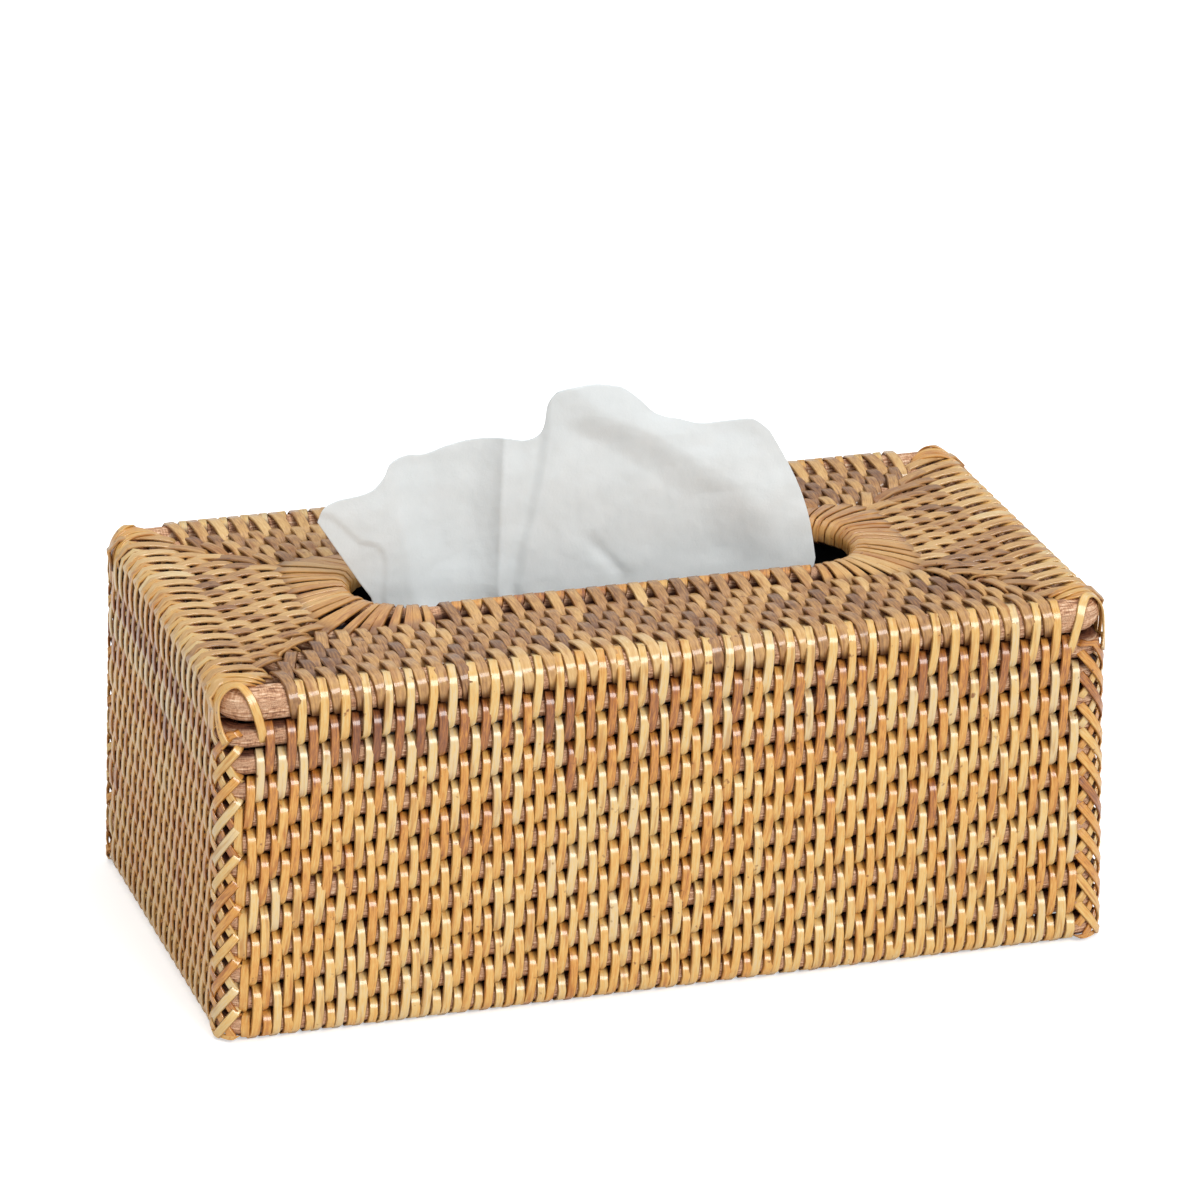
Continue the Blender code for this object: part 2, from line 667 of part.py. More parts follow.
# The tissue pulled half out of the stack, a thin folded sheet
bm = bmesh.new()
levels = [row / TISSUE_NECK_ROWS - 1 for row in range(TISSUE_NECK_ROWS)]
levels += [row / TISSUE_ROWS for row in range(TISSUE_ROWS + 1)]
grid = []
for level in levels:
    grid.append([bm.verts.new(tissue_point(step / TISSUE_COLUMNS, level))
                 for step in range(TISSUE_COLUMNS + 1)])
for lower, upper in zip(grid, grid[1:]):
    for step in range(TISSUE_COLUMNS):
        bm.faces.new((lower[step], lower[step + 1], upper[step + 1], upper[step]))
tissue = object_from("pop_up_tissue", bm, tissue_body)
sheet = tissue.modifiers.new("Sheet", "SOLIDIFY")
sheet.thickness = TISSUE_THICKNESS
sheet.offset = 0
tissue.data.shade_smooth()
paint(tissue, (0.92, 0.93, 0.94), 0.9)
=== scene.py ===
"""A woven rattan tissue box cover, standing over its carton with one tissue pulled up.

Lengths are in metres. The length runs along X, the front faces -Y, the table is at Z = 0.
"""
import math
import random

import bmesh
import bpy
from mathutils import Matrix, Vector, noise


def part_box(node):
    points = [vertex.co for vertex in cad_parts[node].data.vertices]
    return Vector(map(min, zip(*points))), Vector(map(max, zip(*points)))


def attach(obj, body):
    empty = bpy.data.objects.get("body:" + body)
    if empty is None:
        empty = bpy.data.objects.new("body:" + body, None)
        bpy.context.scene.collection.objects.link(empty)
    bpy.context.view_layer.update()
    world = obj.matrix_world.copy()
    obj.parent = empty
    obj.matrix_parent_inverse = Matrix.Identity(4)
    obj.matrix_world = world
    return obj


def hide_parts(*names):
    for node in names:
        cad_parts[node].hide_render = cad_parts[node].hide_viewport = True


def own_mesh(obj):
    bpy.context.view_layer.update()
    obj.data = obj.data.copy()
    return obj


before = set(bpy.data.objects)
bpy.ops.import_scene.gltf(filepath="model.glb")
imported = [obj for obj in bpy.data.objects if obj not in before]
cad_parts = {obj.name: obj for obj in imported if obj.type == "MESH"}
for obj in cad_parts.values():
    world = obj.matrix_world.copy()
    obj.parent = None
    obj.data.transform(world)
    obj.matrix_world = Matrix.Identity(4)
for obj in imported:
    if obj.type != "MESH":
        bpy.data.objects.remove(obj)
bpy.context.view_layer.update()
scene = bpy.context.scene
scene.view_settings.view_transform = "Standard"

# Camera
# A long lens from the front left and a little above, turned a touch about its own axis.
CAMERA_PLACE = Vector((-0.56163, -1.75217, 0.81979))
CAMERA_RIGHT = Vector((0.95371, -0.30050, 0.01203))
CAMERA_UP = Vector((0.09949, 0.35302, 0.93031))
CAMERA_LENS = 202.8

camera_data = bpy.data.cameras.new("camera")
camera_data.lens = CAMERA_LENS
camera_data.sensor_width = 36
camera_data.clip_end = 20
camera = bpy.data.objects.new("camera", camera_data)
scene.collection.objects.link(camera)
camera_back = CAMERA_RIGHT.cross(CAMERA_UP).normalized()
turned = Matrix((CAMERA_RIGHT, CAMERA_UP, camera_back)).transposed().to_4x4()
camera.matrix_world = Matrix.Translation(CAMERA_PLACE) @ turned
scene.camera = camera

# Carton
# The folded board carton that the tissues come in. It stands loose under the cover, and
# only a little of its lid shows through the oval; its board is painted near black, as painted
# shade for the dark inside of the cover. Its CAD solid is right as it is.


def node_maker(tree):
    """Ways to feed a node's inputs and to add a node.

    An input gets a value, a node for its first output, or a node with an output's name.
    """
    def feed(node, inputs):
        for socket, value in inputs.items():
            if isinstance(value, bpy.types.Node):
                value = (value, 0)
            if isinstance(value, tuple) and isinstance(value[0], bpy.types.Node):
                tree.links.new(value[0].outputs[value[1]], node.inputs[socket])
            else:
                node.inputs[socket].default_value = value

    def add(kind, inputs=None, **settings):
        node = tree.nodes.new(kind)
        for name, value in settings.items():
            setattr(node, name, value)
        feed(node, inputs or {})
        return node

    return add, feed


def node_group(name, kind, inputs, outputs):
    """A node tree with its makers and its two ends, with the type of each named socket."""
    tree = bpy.data.node_groups.new(name, kind)
    for in_out, sockets in (("INPUT", inputs), ("OUTPUT", outputs)):
        for socket, type_word in sockets.items():
            tree.interface.new_socket(socket, in_out=in_out, socket_type="NodeSocket" + type_word)
    add, feed = node_maker(tree)
    return tree, add, feed, add("NodeGroupInput"), add("NodeGroupOutput")


def new_finish(name, roughness):
    """An empty material with its Principled shader, ready for its colour nodes."""
    material = bpy.data.materials.new(name)
    material.use_nodes = True
    shader = material.node_tree.nodes["Principled BSDF"]
    add, feed = node_maker(material.node_tree)
    feed(shader, {"Roughness": roughness})
    return material, shader, add, feed


def mottle_group():
    """Cloudy variation at two sizes, for board and paper."""
    tree, add, feed, inner, outer = node_group(
        "Mottle", "ShaderNodeTree",
        {"Vector": "Vector", "Cloud Scale": "Float", "Fibre Scale": "Float"},
        {"Clouds": "Float", "Fibres": "Float"})
    clouds = add("ShaderNodeTexNoise",
                 {"Vector": inner, "Scale": (inner, "Cloud Scale"), "Detail": 3})
    fibres = add("ShaderNodeTexNoise", {"Vector": inner, "Scale": (inner, "Fibre Scale"),
                                        "Detail": 4, "Roughness": 0.7})
    feed(outer, {"Clouds": clouds, "Fibres": fibres})
    return tree


MOTTLE = mottle_group()


def paper_finish(name, pale, deep, roughness, cloud_scale, fibre_scale, bump, bump_depth):
    """Board or paper: two close colours in soft clouds, with fine fibres in its bump."""
    material, shader, add, feed = new_finish(name, roughness)
    place = add("ShaderNodeTexCoord")
    mottle = add("ShaderNodeGroup", {"Vector": (place, "Object"), "Cloud Scale": cloud_scale,
                                     "Fibre Scale": fibre_scale}, node_tree=MOTTLE)
    colour = add("ShaderNodeMix", {"Factor": (mottle, "Clouds"), "A": (*deep, 1),
                                   "B": (*pale, 1)}, data_type="RGBA")
    relief = add("ShaderNodeBump", {"Strength": bump, "Distance": bump_depth,
                                    "Height": (mottle, "Fibres")})
    feed(shader, {"Base Color": (colour, "Result"), "Normal": relief})
    return material


carton_board = paper_finish("carton_board_painted_shade", (0.030, 0.036, 0.050), (0.018, 0.022, 0.032),
                            roughness=0.7, cloud_scale=60, fibre_scale=900, bump=0.3,
                            bump_depth=0.0002)
carton_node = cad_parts["carton"]
for board_slot in carton_node.material_slots:
    board_slot.material = carton_board

# Folded stack of tissues
# Soft folded tissues lie in the carton, interleaved so that each pulls up the next. The
# stack is a pile of thin leaves with round fold edges, a little uneven at their ends.
STACK_LEAVES = 22
STACK_LOW, STACK_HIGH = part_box("tissue_stack")
LEAF_GAP = 0.0003
LEAF_UNEVEN = 0.0008


def settle(piece, body):
    """Put a finished piece into the scene, riding on its body."""
    scene.collection.objects.link(piece)
    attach(piece, body)
    return piece


def mesh_of(name, bm):
    """A smooth mesh with the faces of a bmesh."""
    mesh = bpy.data.meshes.new(name)
    bm.to_mesh(mesh)
    bm.free()
    mesh.shade_smooth()
    return mesh


def piece_from(name, bm, material, body):
    """Make a finished piece of a bmesh, at the origin."""
    mesh = mesh_of(name, bm)
    mesh.materials.append(material)
    return settle(bpy.data.objects.new(name, mesh), body)


def loft(bm, rings):
    """Join rings of vertices that have the same count into one closed skin."""
    faces = []
    for near, far in zip(rings, rings[1:]):
        for index in range(len(near)):
            after = (index + 1) % len(near)
            faces.append(bm.faces.new((near[index], near[after], far[after], far[index])))
    faces.append(bm.faces.new(list(reversed(rings[0]))))
    faces.append(bm.faces.new(rings[-1]))
    return faces


stack_paper = paper_finish("folded_tissue", (0.80, 0.81, 0.80), (0.70, 0.71, 0.71),
                           roughness=0.95, cloud_scale=90, fibre_scale=1500, bump=0.3,
                           bump_depth=0.0002)
chance = random.Random(5)
bm = bmesh.new()
leaf_height = (STACK_HIGH[2] - STACK_LOW[2]) / STACK_LEAVES
for leaf in range(STACK_LEAVES):
    low = STACK_LOW[2] + leaf * leaf_height
    high = low + leaf_height - LEAF_GAP
    inset = chance.uniform(0, LEAF_UNEVEN)
    half_x = (STACK_HIGH[0] - STACK_LOW[0]) / 2 - inset
    half_y = (STACK_HIGH[1] - STACK_LOW[1]) / 2 - chance.uniform(0, LEAF_UNEVEN)
    round_off = (high - low) / 2
    rings = []
    for share in (0, 0.3, 0.7, 1):
        back_off = round_off * (1 - math.sin(math.pi * share))
        level = low + (high - low) * share
        corners = ((1, 1), (-1, 1), (-1, -1), (1, -1))
        rings.append([bm.verts.new((sx * (half_x - back_off), sy * (half_y - back_off), level))
                      for sx, sy in corners])
    loft(bm, rings)
stack = piece_from("folded_tissues", bm, stack_paper, "carton")
for face in stack.data.polygons:
    face.use_smooth = False
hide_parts("tissue_stack")

# Rattan rods
# Peeled rattan core, a reddish porous wood, steamed and bent into rings: a thick one at the
# upper edge, twelve down the sides, five thin ones over the top, and one round the oval.
HALF_LENGTH = 0.1335
HALF_DEPTH = 0.070
COVER_HEIGHT = 0.108
SIDE_FLARE = 0.002
EDGE_ROD = {"radius": 0.0050, "inset": 0.0065, "height": 0.1011, "bend": 0.0051}
SIDE_ROD = {"radius": 0.0035, "inset": 0.0053, "bend": 0.0044}
SIDE_RODS = 12
SIDE_PITCH = 0.087400 / 11
LAST_ROD_HEIGHT = 0.0047
TOP_ROD = {"radius": 0.0026, "height": 0.1023, "bend": 0.0040, "bend_growth": 0.0018}
TOP_RODS = 5
FIRST_TOP_INSET = 0.0158
TOP_PITCH = 0.0249 / 4
RIM_ROD = {"radius": 0.0034, "inset": 0.0491, "height": 0.1033}
RIM_HALF_STRAIGHT = 0.0588
RIM_RADIUS = HALF_DEPTH - RIM_ROD["inset"]
ROD_BEND_STEPS = 9
OVAL_END_STEPS = 18
ROD_RUN_STEP = 0.006
ROD_FACETS = 14
ROD_WOBBLE = 0.00022


def flare_at(height):
    """How far the sides lean out at a height, more towards the foot."""
    return SIDE_FLARE * (1 - height / COVER_HEIGHT)


def side_rod_height(index):
    return EDGE_ROD["height"] if index == 0 else LAST_ROD_HEIGHT + SIDE_PITCH * (SIDE_RODS - index)


def top_rod_inset(index):
    return FIRST_TOP_INSET + TOP_PITCH * (index - 1)


def rounded_path(half_x, half_y, bend):
    """Points round a rectangle with round corners: those of its bends, one corner after another."""
    points = []
    for turn, (sx, sy) in enumerate(((1, 1), (-1, 1), (-1, -1), (1, -1))):
        for step in range(ROD_BEND_STEPS + 1):
            angle = math.pi / 2 * (turn + step / ROD_BEND_STEPS)
            points.append(Vector((sx * (half_x - bend) + bend * math.cos(angle),
                                  sy * (half_y - bend) + bend * math.sin(angle))))
    return points


def oval_path(half_straight, radius):
    points = []
    for side in (1, -1):
        for step in range(OVAL_END_STEPS + 1):
            angle = math.pi * (step / OVAL_END_STEPS - 0.5)
            points.append(Vector((side * (half_straight + radius * math.cos(angle)),
                                  side * radius * math.sin(angle))))
    return points


def fill_runs(points):
    """Add points on the long straight runs, so that the rod can wander a little there."""
    filled = []
    for here, after in zip(points, points[1:] + points[:1]):
        pieces = max(1, round((after - here).length / ROD_RUN_STEP))
        filled += [here.lerp(after, step / pieces) for step in range(pieces)]
    return filled


def rod_tree():
    """Geometry nodes: a closed path becomes a slightly uneven round rod."""
    tree, add, feed, inner, outer = node_group(
        "Bent rod", "GeometryNodeTree",
        {"Geometry": "Geometry", "Rod Radius": "Float", "Wobble": "Float", "Facets": "Int",
         "Core": "Material"}, {"Geometry": "Geometry"})
    curve = add("GeometryNodeMeshToCurve", {"Mesh": inner})
    run = add("GeometryNodeSplineParameter")
    measured = add("GeometryNodeStoreNamedAttribute",
                   {"Geometry": curve, "Name": "run", "Value": (run, "Length")})
    wander = add("ShaderNodeTexNoise", {"Scale": 55})
    centred = add("ShaderNodeVectorMath", {0: (wander, "Color"), 1: (0.5, 0.5, 0.5)},
                  operation="SUBTRACT")
    sized = add("ShaderNodeVectorMath", {0: centred, "Scale": (inner, "Wobble")},
                operation="SCALE")
    uneven = add("GeometryNodeSetPosition", {"Geometry": measured, "Offset": sized})
    ring = add("GeometryNodeCurvePrimitiveCircle",
               {"Resolution": (inner, "Facets"), "Radius": (inner, "Rod Radius")})
    ring_place = add("GeometryNodeSplineParameter")
    profile = add("GeometryNodeStoreNamedAttribute",
                  {"Geometry": ring, "Name": "round", "Value": (ring_place, "Factor")})
    skin = add("GeometryNodeCurveToMesh", {"Curve": uneven, "Profile Curve": profile})
    real = add("GeometryNodeRealizeInstances", {"Geometry": skin})
    smooth = add("GeometryNodeSetShadeSmooth", {"Geometry": real})
    paint = add("GeometryNodeSetMaterial", {"Geometry": smooth, "Material": (inner, "Core")})
    feed(outer, {"Geometry": paint})
    return tree


def grow(name, source, tree, values, body):
    """Run a geometry tree on a source mesh and keep the result as a plain piece."""
    carrier = bpy.data.objects.new(name + "_source", source)
    scene.collection.objects.link(carrier)
    work = carrier.modifiers.new("Grow", "NODES")
    work.node_group = tree
    for item in tree.interface.items_tree:
        if item.in_out == "INPUT" and item.name in values:
            work[item.identifier] = values[item.name]
    bpy.context.view_layer.update()
    grown = carrier.evaluated_get(bpy.context.evaluated_depsgraph_get())
    mesh = bpy.data.meshes.new_from_object(grown)
    mesh.name = name
    bpy.data.objects.remove(carrier, do_unlink=True)
    return settle(bpy.data.objects.new(name, mesh), body)


def calc(add, operation, *values):
    """A math node with its inputs in order."""
    return add("ShaderNodeMath", dict(enumerate(values)), operation=operation)


def streak_group():
    """Long streaks and pores: Across runs over the fibres, Along runs with them."""
    inputs = ("Across", "Along", "Seed", "Across Scale", "Along Scale")
    tree, add, feed, inner, outer = node_group(
        "Streaks", "ShaderNodeTree", dict.fromkeys(inputs, "Float"),
        {"Streak": "Float", "Patch": "Float"})
    wide = calc(add, "MULTIPLY", (inner, "Across"), (inner, "Across Scale"))
    long = calc(add, "MULTIPLY", (inner, "Along"), (inner, "Along Scale"))
    place = add("ShaderNodeCombineXYZ", {"X": wide, "Y": long, "Z": (inner, "Seed")})
    fine = add("ShaderNodeTexNoise", {"Vector": place, "Scale": 1, "Detail": 3, "Roughness": 0.65})
    broad = add("ShaderNodeTexNoise", {"Vector": place, "Scale": 0.22, "Detail": 2})
    feed(outer, {"Streak": fine, "Patch": broad})
    return tree


STREAKS = streak_group()


def colour_ramp(add, source, stops):
    """A ramp with its stops placed; each stop is a place and a linear colour."""
    ramp = add("ShaderNodeValToRGB", {"Fac": source})
    while len(ramp.color_ramp.elements) < len(stops):
        ramp.color_ramp.elements.new(0.5)
    for element, (place, colour) in zip(ramp.color_ramp.elements, stops):
        element.position = place
        element.color = (*colour, 1)
    return ramp


def tinted(add, colour, tint, source, low, high, most=1, rise="SMOOTHSTEP"):
    """A colour multiplied by a tint, up to its most while the source goes from low to high."""
    share = add("ShaderNodeMapRange", {"Value": source, "From Min": low, "From Max": high,
                                       "To Max": most}, interpolation_type=rise)
    return (add("ShaderNodeMix", {"Factor": share, "A": colour, "B": (*tint, 1)},
                data_type="RGBA", blend_type="MULTIPLY"), "Result")


def core_finish(name, shade_from, shade_to):
    """Reddish rattan core with pores drawn out along the rod, and painted shade in its grooves.

    The painted shade runs between two values of how steeply the surface faces up or down.
    """
    material, shader, add, feed = new_finish(name, roughness=0.62)
    run = (add("ShaderNodeAttribute", attribute_name="run"), "Fac")
    turn = (add("ShaderNodeAttribute", attribute_name="round"), "Fac")
    streaks = add("ShaderNodeGroup", {"Across": turn, "Along": run, "Across Scale": 46,
                                      "Along Scale": 260, "Seed": 3}, node_tree=STREAKS)
    hatch = add("ShaderNodeGroup", {"Across": turn, "Along": run, "Across Scale": 9,
                                    "Along Scale": 2400, "Seed": 8}, node_tree=STREAKS)
    both = (add("ShaderNodeMix", {"Factor": 0.30, "A": streaks, "B": hatch}), "Result")
    ramp = colour_ramp(add, both, ((0.38, (0.17, 0.065, 0.030)), (0.46, (0.46, 0.215, 0.105)),
                                   (0.53, (0.68, 0.385, 0.215)), (0.61, (0.90, 0.66, 0.45))))
    facing = add("ShaderNodeNewGeometry")
    facing_parts = add("ShaderNodeSeparateXYZ", {0: (facing, "Normal")})
    shade_steepness = calc(add, "ABSOLUTE", (facing_parts, "Z"))
    # Painted shade: darker where the surface faces into the grooves between rods
    colour = tinted(add, ramp, (0.20, 0.11, 0.07), shade_steepness, shade_from, shade_to)
    relief = add("ShaderNodeBump", {"Strength": 0.6, "Distance": 0.0003, "Height": both})
    feed(shader, {"Base Color": colour, "Normal": relief})
    return material


ROD_TREE = rod_tree()
side_core = core_finish("rattan_core", shade_from=0.45, shade_to=0.90)
top_core = core_finish("rattan_top_core", shade_from=0.80, shade_to=0.30)
# No surface is as steep as 1.2, so the edge rod gets no painted groove shade
edge_core = core_finish("rattan_edge_core", shade_from=1.2, shade_to=1.3)


def bent_rod(node, path, height, radius, core):
    """A rod along a closed path, standing for its CAD rod."""
    points = fill_runs(path)
    source = bpy.data.meshes.new(node + "_path")
    edges = [(index, (index + 1) % len(points)) for index in range(len(points))]
    source.from_pydata([(point.x, point.y, height) for point in points], edges, [])
    rod = grow(node + "_core", source, ROD_TREE,
               {"Rod Radius": radius, "Wobble": ROD_WOBBLE, "Facets": ROD_FACETS,
                "Core": core}, "cover")
    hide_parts(node)


def side_path(index):
    kind = EDGE_ROD if index == 0 else SIDE_ROD
    reach = flare_at(side_rod_height(index)) - kind["inset"]
    return rounded_path(HALF_LENGTH + reach, HALF_DEPTH + reach, kind["bend"])


bent_rod("edge_rod", side_path(0), EDGE_ROD["height"], EDGE_ROD["radius"], edge_core)
for index in range(1, SIDE_RODS + 1):
    bent_rod(f"side_rod_{index:02d}", side_path(index), side_rod_height(index),
             SIDE_ROD["radius"], side_core)
for index in range(1, TOP_RODS + 1):
    inset = top_rod_inset(index)
    bend = TOP_ROD["bend"] + TOP_ROD["bend_growth"] * (index - 1)
    bent_rod(f"top_rod_{index}", rounded_path(HALF_LENGTH - inset, HALF_DEPTH - inset, bend),
             TOP_ROD["height"], TOP_ROD["radius"], top_core)
bent_rod("rim_rod", oval_path(RIM_HALF_STRAIGHT, RIM_RADIUS), RIM_ROD["height"],
         RIM_ROD["radius"], top_core)

# Woven sides
# Flat strips of glossy rattan peel bind each rod to the next in a spiral. Each turn spans
# two rods, and the turns of one row stand between those of the rows above and below it.
COLUMN_PITCH = 0.00312
PEEL_WIDTH = 0.00292
PEEL_THICKNESS = 0.00095
PEEL_LIFT = 0.00012
PEEL_BOW = 0.00034
PEEL_END_TAPER = 0.94
# Share across the strip and rise through its thickness, for each point of its section
PEEL_SECTION = ((0, 0.42), (0.12, 0.93), (0.88, 0.93), (1, 0.42), (0.5, 0))
CROWN_EDGES = (1, 2)
# How fast the painted shade on a strip grows where it turns out of sight
TUCK_SHADE_GAIN = 1.25
CORNER_ZONE = 0.0096
# Each row starts a little further along than the one above it, and its turns wander
ROW_DRIFT = 0.00012
ROW_WANDER = 0.0005
WANDER_PACE = (45, 0.6)
WALL_TURNS = {"front": math.pi, "right": -math.pi / 2, "back": 0, "left": math.pi / 2}


def layer_of(elements, name):
    """A layer of numbers on a bmesh's points or faces, made when first asked for."""
    layers = elements.layers.float
    return layers.get(name) or layers.new(name)


def add_strip(bm, spots, marks, tone=None):
    """Skin a strip of peel over spots of (centre, across, normal, width, thickness, tuck), tuck being
    its painted shade.
    """
    tuck_shade_layer = layer_of(bm.verts, "tuck")
    tone_layer = None if tone is None else layer_of(bm.faces, "tone")
    rings = []
    travelled = 0
    before = spots[0][0]
    for centre, across, normal, width, thickness, tuck in spots:
        travelled += (centre - before).length
        before = centre
        ring = []
        for share, rise in PEEL_SECTION:
            vert = bm.verts.new(centre + across * (width * (share - 0.5))
                                + normal * (thickness * rise))
            vert[tuck_shade_layer] = tuck
            marks[vert] = (share, travelled)
            ring.append(vert)
        rings.append(ring)
    for face in loft(bm, rings):
        if tone_layer:
            face[tone_layer] = tone
    for near, far in zip(rings, rings[1:]):
        for place in CROWN_EDGES:
            bm.edges.get((near[place], far[place])).smooth = False


def finish_strips(bm, marks):
    """Turn faces outward and write the strips' places across and along into the UV map."""
    bmesh.ops.recalc_face_normals(bm, faces=bm.faces)
    layer = bm.loops.layers.uv.new("peel")
    for face in bm.faces:
        for corner in face.loops:
            corner[layer].uv = marks[corner.vert]


TURN_SHARES = (0, 0.34, 0.62, 0.84, 1)
LOOP_SHARES = (0, 0.14, 0.26, 0.38, 0.5, 0.62, 0.74, 0.86, 1)
# How much less a turn round one rod swings on its front
LOOP_CALM = 0.8
# How late a turn swings sideways as it goes behind its upper and its lower rod
UPPER_SWING = 2.4
LOWER_SWING = 1.5


def pointing(angle):
    return Vector((math.cos(angle), math.sin(angle)))


def belt(upper, lower, lift, lean=-0.1):
    """Where a strip lies round two rods: place, normal, sideways shift and front share."""
    hand = 1 if lean < 0 else -1
    centre_a, radius_a = Vector(upper[:2]), upper[2] + lift
    centre_b, radius_b = Vector(lower[:2]), lower[2] + lift
    apart = centre_a - centre_b
    tilt = math.acos((radius_b - radius_a) / apart.length)
    heading = math.atan2(apart.y, apart.x)
    outer = heading - tilt
    inner = heading + tilt
    if math.cos(outer) < 0:
        outer, inner = inner, outer
    if inner < outer:
        inner += 2 * math.pi
    back = pointing(inner)
    back_a = centre_a + back * radius_a
    back_b = centre_b + back * radius_b
    middle = (back_a + back_b) / 2
    spots = [(middle, back, -hand, 0)]
    for share in TURN_SHARES:
        normal = pointing(inner + (outer - inner) * share)
        spots.append((centre_a + normal * radius_a, normal,
                      lean - (lean + hand) * (1 - share) ** UPPER_SWING, share))
    front_a = spots[-1][0]
    normal = pointing(outer)
    front_b = centre_b + normal * radius_b
    for share in (0.25, 0.5, 0.75):
        bow = normal * (PEEL_BOW * math.sin(math.pi * share))
        spots.append((front_a.lerp(front_b, share) + bow, normal, lean - 2 * lean * share, 1))
    full_outer = outer + 2 * math.pi
    for share in [1 - part for part in reversed(TURN_SHARES)]:
        normal = pointing(full_outer + (inner - full_outer) * share)
        spots.append((centre_b + normal * radius_b, normal,
                      -lean + (hand + lean) * share ** LOWER_SWING, 1 - share))
    spots.append((middle, back, hand, 0))
    return spots


def single_loop(radius, lift):
    """Where a strip lies round one rod, from its inner side up, over, down and back."""
    spots = []
    for share in LOOP_SHARES:
        normal = pointing(math.pi * (1 - 2 * share))
        front = math.sin(math.pi * share)
        spots.append((normal * (radius + lift), normal, (2 * share - 1) * (1 - LOOP_CALM * front),
                      front))
    return spots


def stitch_shape(name, path, full_width, open_high=(1, 0), open_low=(1, 0)):
    """One turn of peel on a path, in its own frame: X along the row, Y out, Z up.

    The strip gets painted shade where it turns away from the open side of its upper or lower rod.
    """
    bm, marks, spots = bmesh.new(), {}, []
    for place, normal, shift, front in path:
        width = full_width * (PEEL_END_TAPER + (1 - PEEL_END_TAPER) * front)
        seen = normal.dot(Vector(open_high if place.y > 0 else open_low))
        spots.append((Vector((shift * COLUMN_PITCH, place.x, place.y)), Vector((1, 0, 0)),
                      Vector((0, normal.x, normal.y)), width, PEEL_THICKNESS,
                      max(0, 1 - seen * TUCK_SHADE_GAIN)))
    add_strip(bm, spots, marks)
    finish_strips(bm, marks)
    return bpy.data.objects.new(name, mesh_of(name, bm))


def stitch_tree():
    """Geometry nodes: one turn of peel at each point, with its own lean and width."""
    tree, add, feed, inner, outer = node_group(
        "Peel turns", "GeometryNodeTree",
        {"Geometry": "Geometry", "Turn Of Peel": "Object", "Lean": "Float",
         "Width Change": "Float", "Seed": "Int", "Peel": "Material"}, {"Geometry": "Geometry"})
    shape = add("GeometryNodeObjectInfo", {"Object": (inner, "Turn Of Peel")})
    turn = add("GeometryNodeInputNamedAttribute", {"Name": "turn"}, data_type="FLOAT_VECTOR")
    stretch = add("GeometryNodeInputNamedAttribute", {"Name": "stretch"},
                  data_type="FLOAT_VECTOR")
    to_turn = add("FunctionNodeEulerToRotation", {"Euler": turn})

    def drawn(low, high, seed):
        """A random number for each point."""
        return (add("FunctionNodeRandomValue", {2: low, 3: high, "Seed": seed}), 1)

    least_lean = calc(add, "MULTIPLY", (inner, "Lean"), -1)
    lean = drawn(least_lean, (inner, "Lean"), (inner, "Seed"))
    to_lean = add("FunctionNodeEulerToRotation", {"Euler": add("ShaderNodeCombineXYZ", {"Y": lean})})
    turned = add("FunctionNodeRotateRotation", {"Rotation": to_turn, "Rotate By": to_lean},
                 rotation_space="LOCAL")
    width = drawn(calc(add, "SUBTRACT", 1, (inner, "Width Change")),
                  calc(add, "ADD", 1, (inner, "Width Change")),
                  calc(add, "ADD", (inner, "Seed"), 17))
    widths = add("ShaderNodeCombineXYZ", {"X": width, "Y": 1, "Z": 1})
    scale = add("ShaderNodeVectorMath", {0: stretch, 1: widths}, operation="MULTIPLY")
    turns = add("GeometryNodeInstanceOnPoints",
                {"Points": inner, "Instance": (shape, "Geometry"), "Rotation": turned,
                 "Scale": scale})
    real = add("GeometryNodeRealizeInstances", {"Geometry": turns})
    paint = add("GeometryNodeSetMaterial", {"Geometry": real, "Material": (inner, "Peel")})
    feed(outer, {"Geometry": paint})
    return tree


def peel_finish(name, stops, roughness):
    """Glossy peel: a tone for each strip, streaks along it, brown specks, and painted shade at its
    edges and where it turns out of sight.
    """
    material, shader, add, feed = new_finish(name, roughness)
    tone = (add("ShaderNodeAttribute", attribute_name="tone"), "Fac")
    tuck = (add("ShaderNodeAttribute", attribute_name="tuck"), "Fac")
    place = add("ShaderNodeUVMap", uv_map="peel")
    parts = add("ShaderNodeSeparateXYZ", {0: place})
    seed = calc(add, "MULTIPLY", tone, 913)
    streaks = add("ShaderNodeGroup", {"Across": parts, "Along": (parts, "Y"), "Seed": seed,
                                      "Across Scale": 7, "Along Scale": 260}, node_tree=STREAKS)
    shift = calc(add, "MULTIPLY_ADD", streaks, 0.95, -0.475)
    colour = colour_ramp(add, calc(add, "ADD", shift, tone), stops)
    colour = tinted(add, colour, (0.66, 0.46, 0.28), (streaks, "Patch"), 0.54, 0.70, 0.75)
    fleck_place = add("ShaderNodeTexCoord")
    flecks = add("ShaderNodeTexNoise",
                 {"Vector": (fleck_place, "Object"), "Scale": 420, "Detail": 2})
    colour = tinted(add, colour, (0.38, 0.22, 0.12), flecks, 0.69, 0.77, rise="LINEAR")
    # Painted shade along both edges of each strip
    to_edge = calc(add, "ABSOLUTE", calc(add, "SUBTRACT", parts, 0.5))
    colour = tinted(add, colour, (0.55, 0.36, 0.22), to_edge, 0.38, 0.52, 0.7, "LINEAR")
    # Painted shade where a strip turns out of sight behind a rod
    colour = tinted(add, colour, (0.24, 0.15, 0.10), tuck, 0.38, 1.0)
    relief = add("ShaderNodeBump", {"Strength": 0.35, "Distance": 0.0002, "Height": streaks})
    feed(shader, {"Base Color": colour, "Normal": relief, "Coat Weight": 0.70,
                  "Coat Roughness": 0.16})
    return material


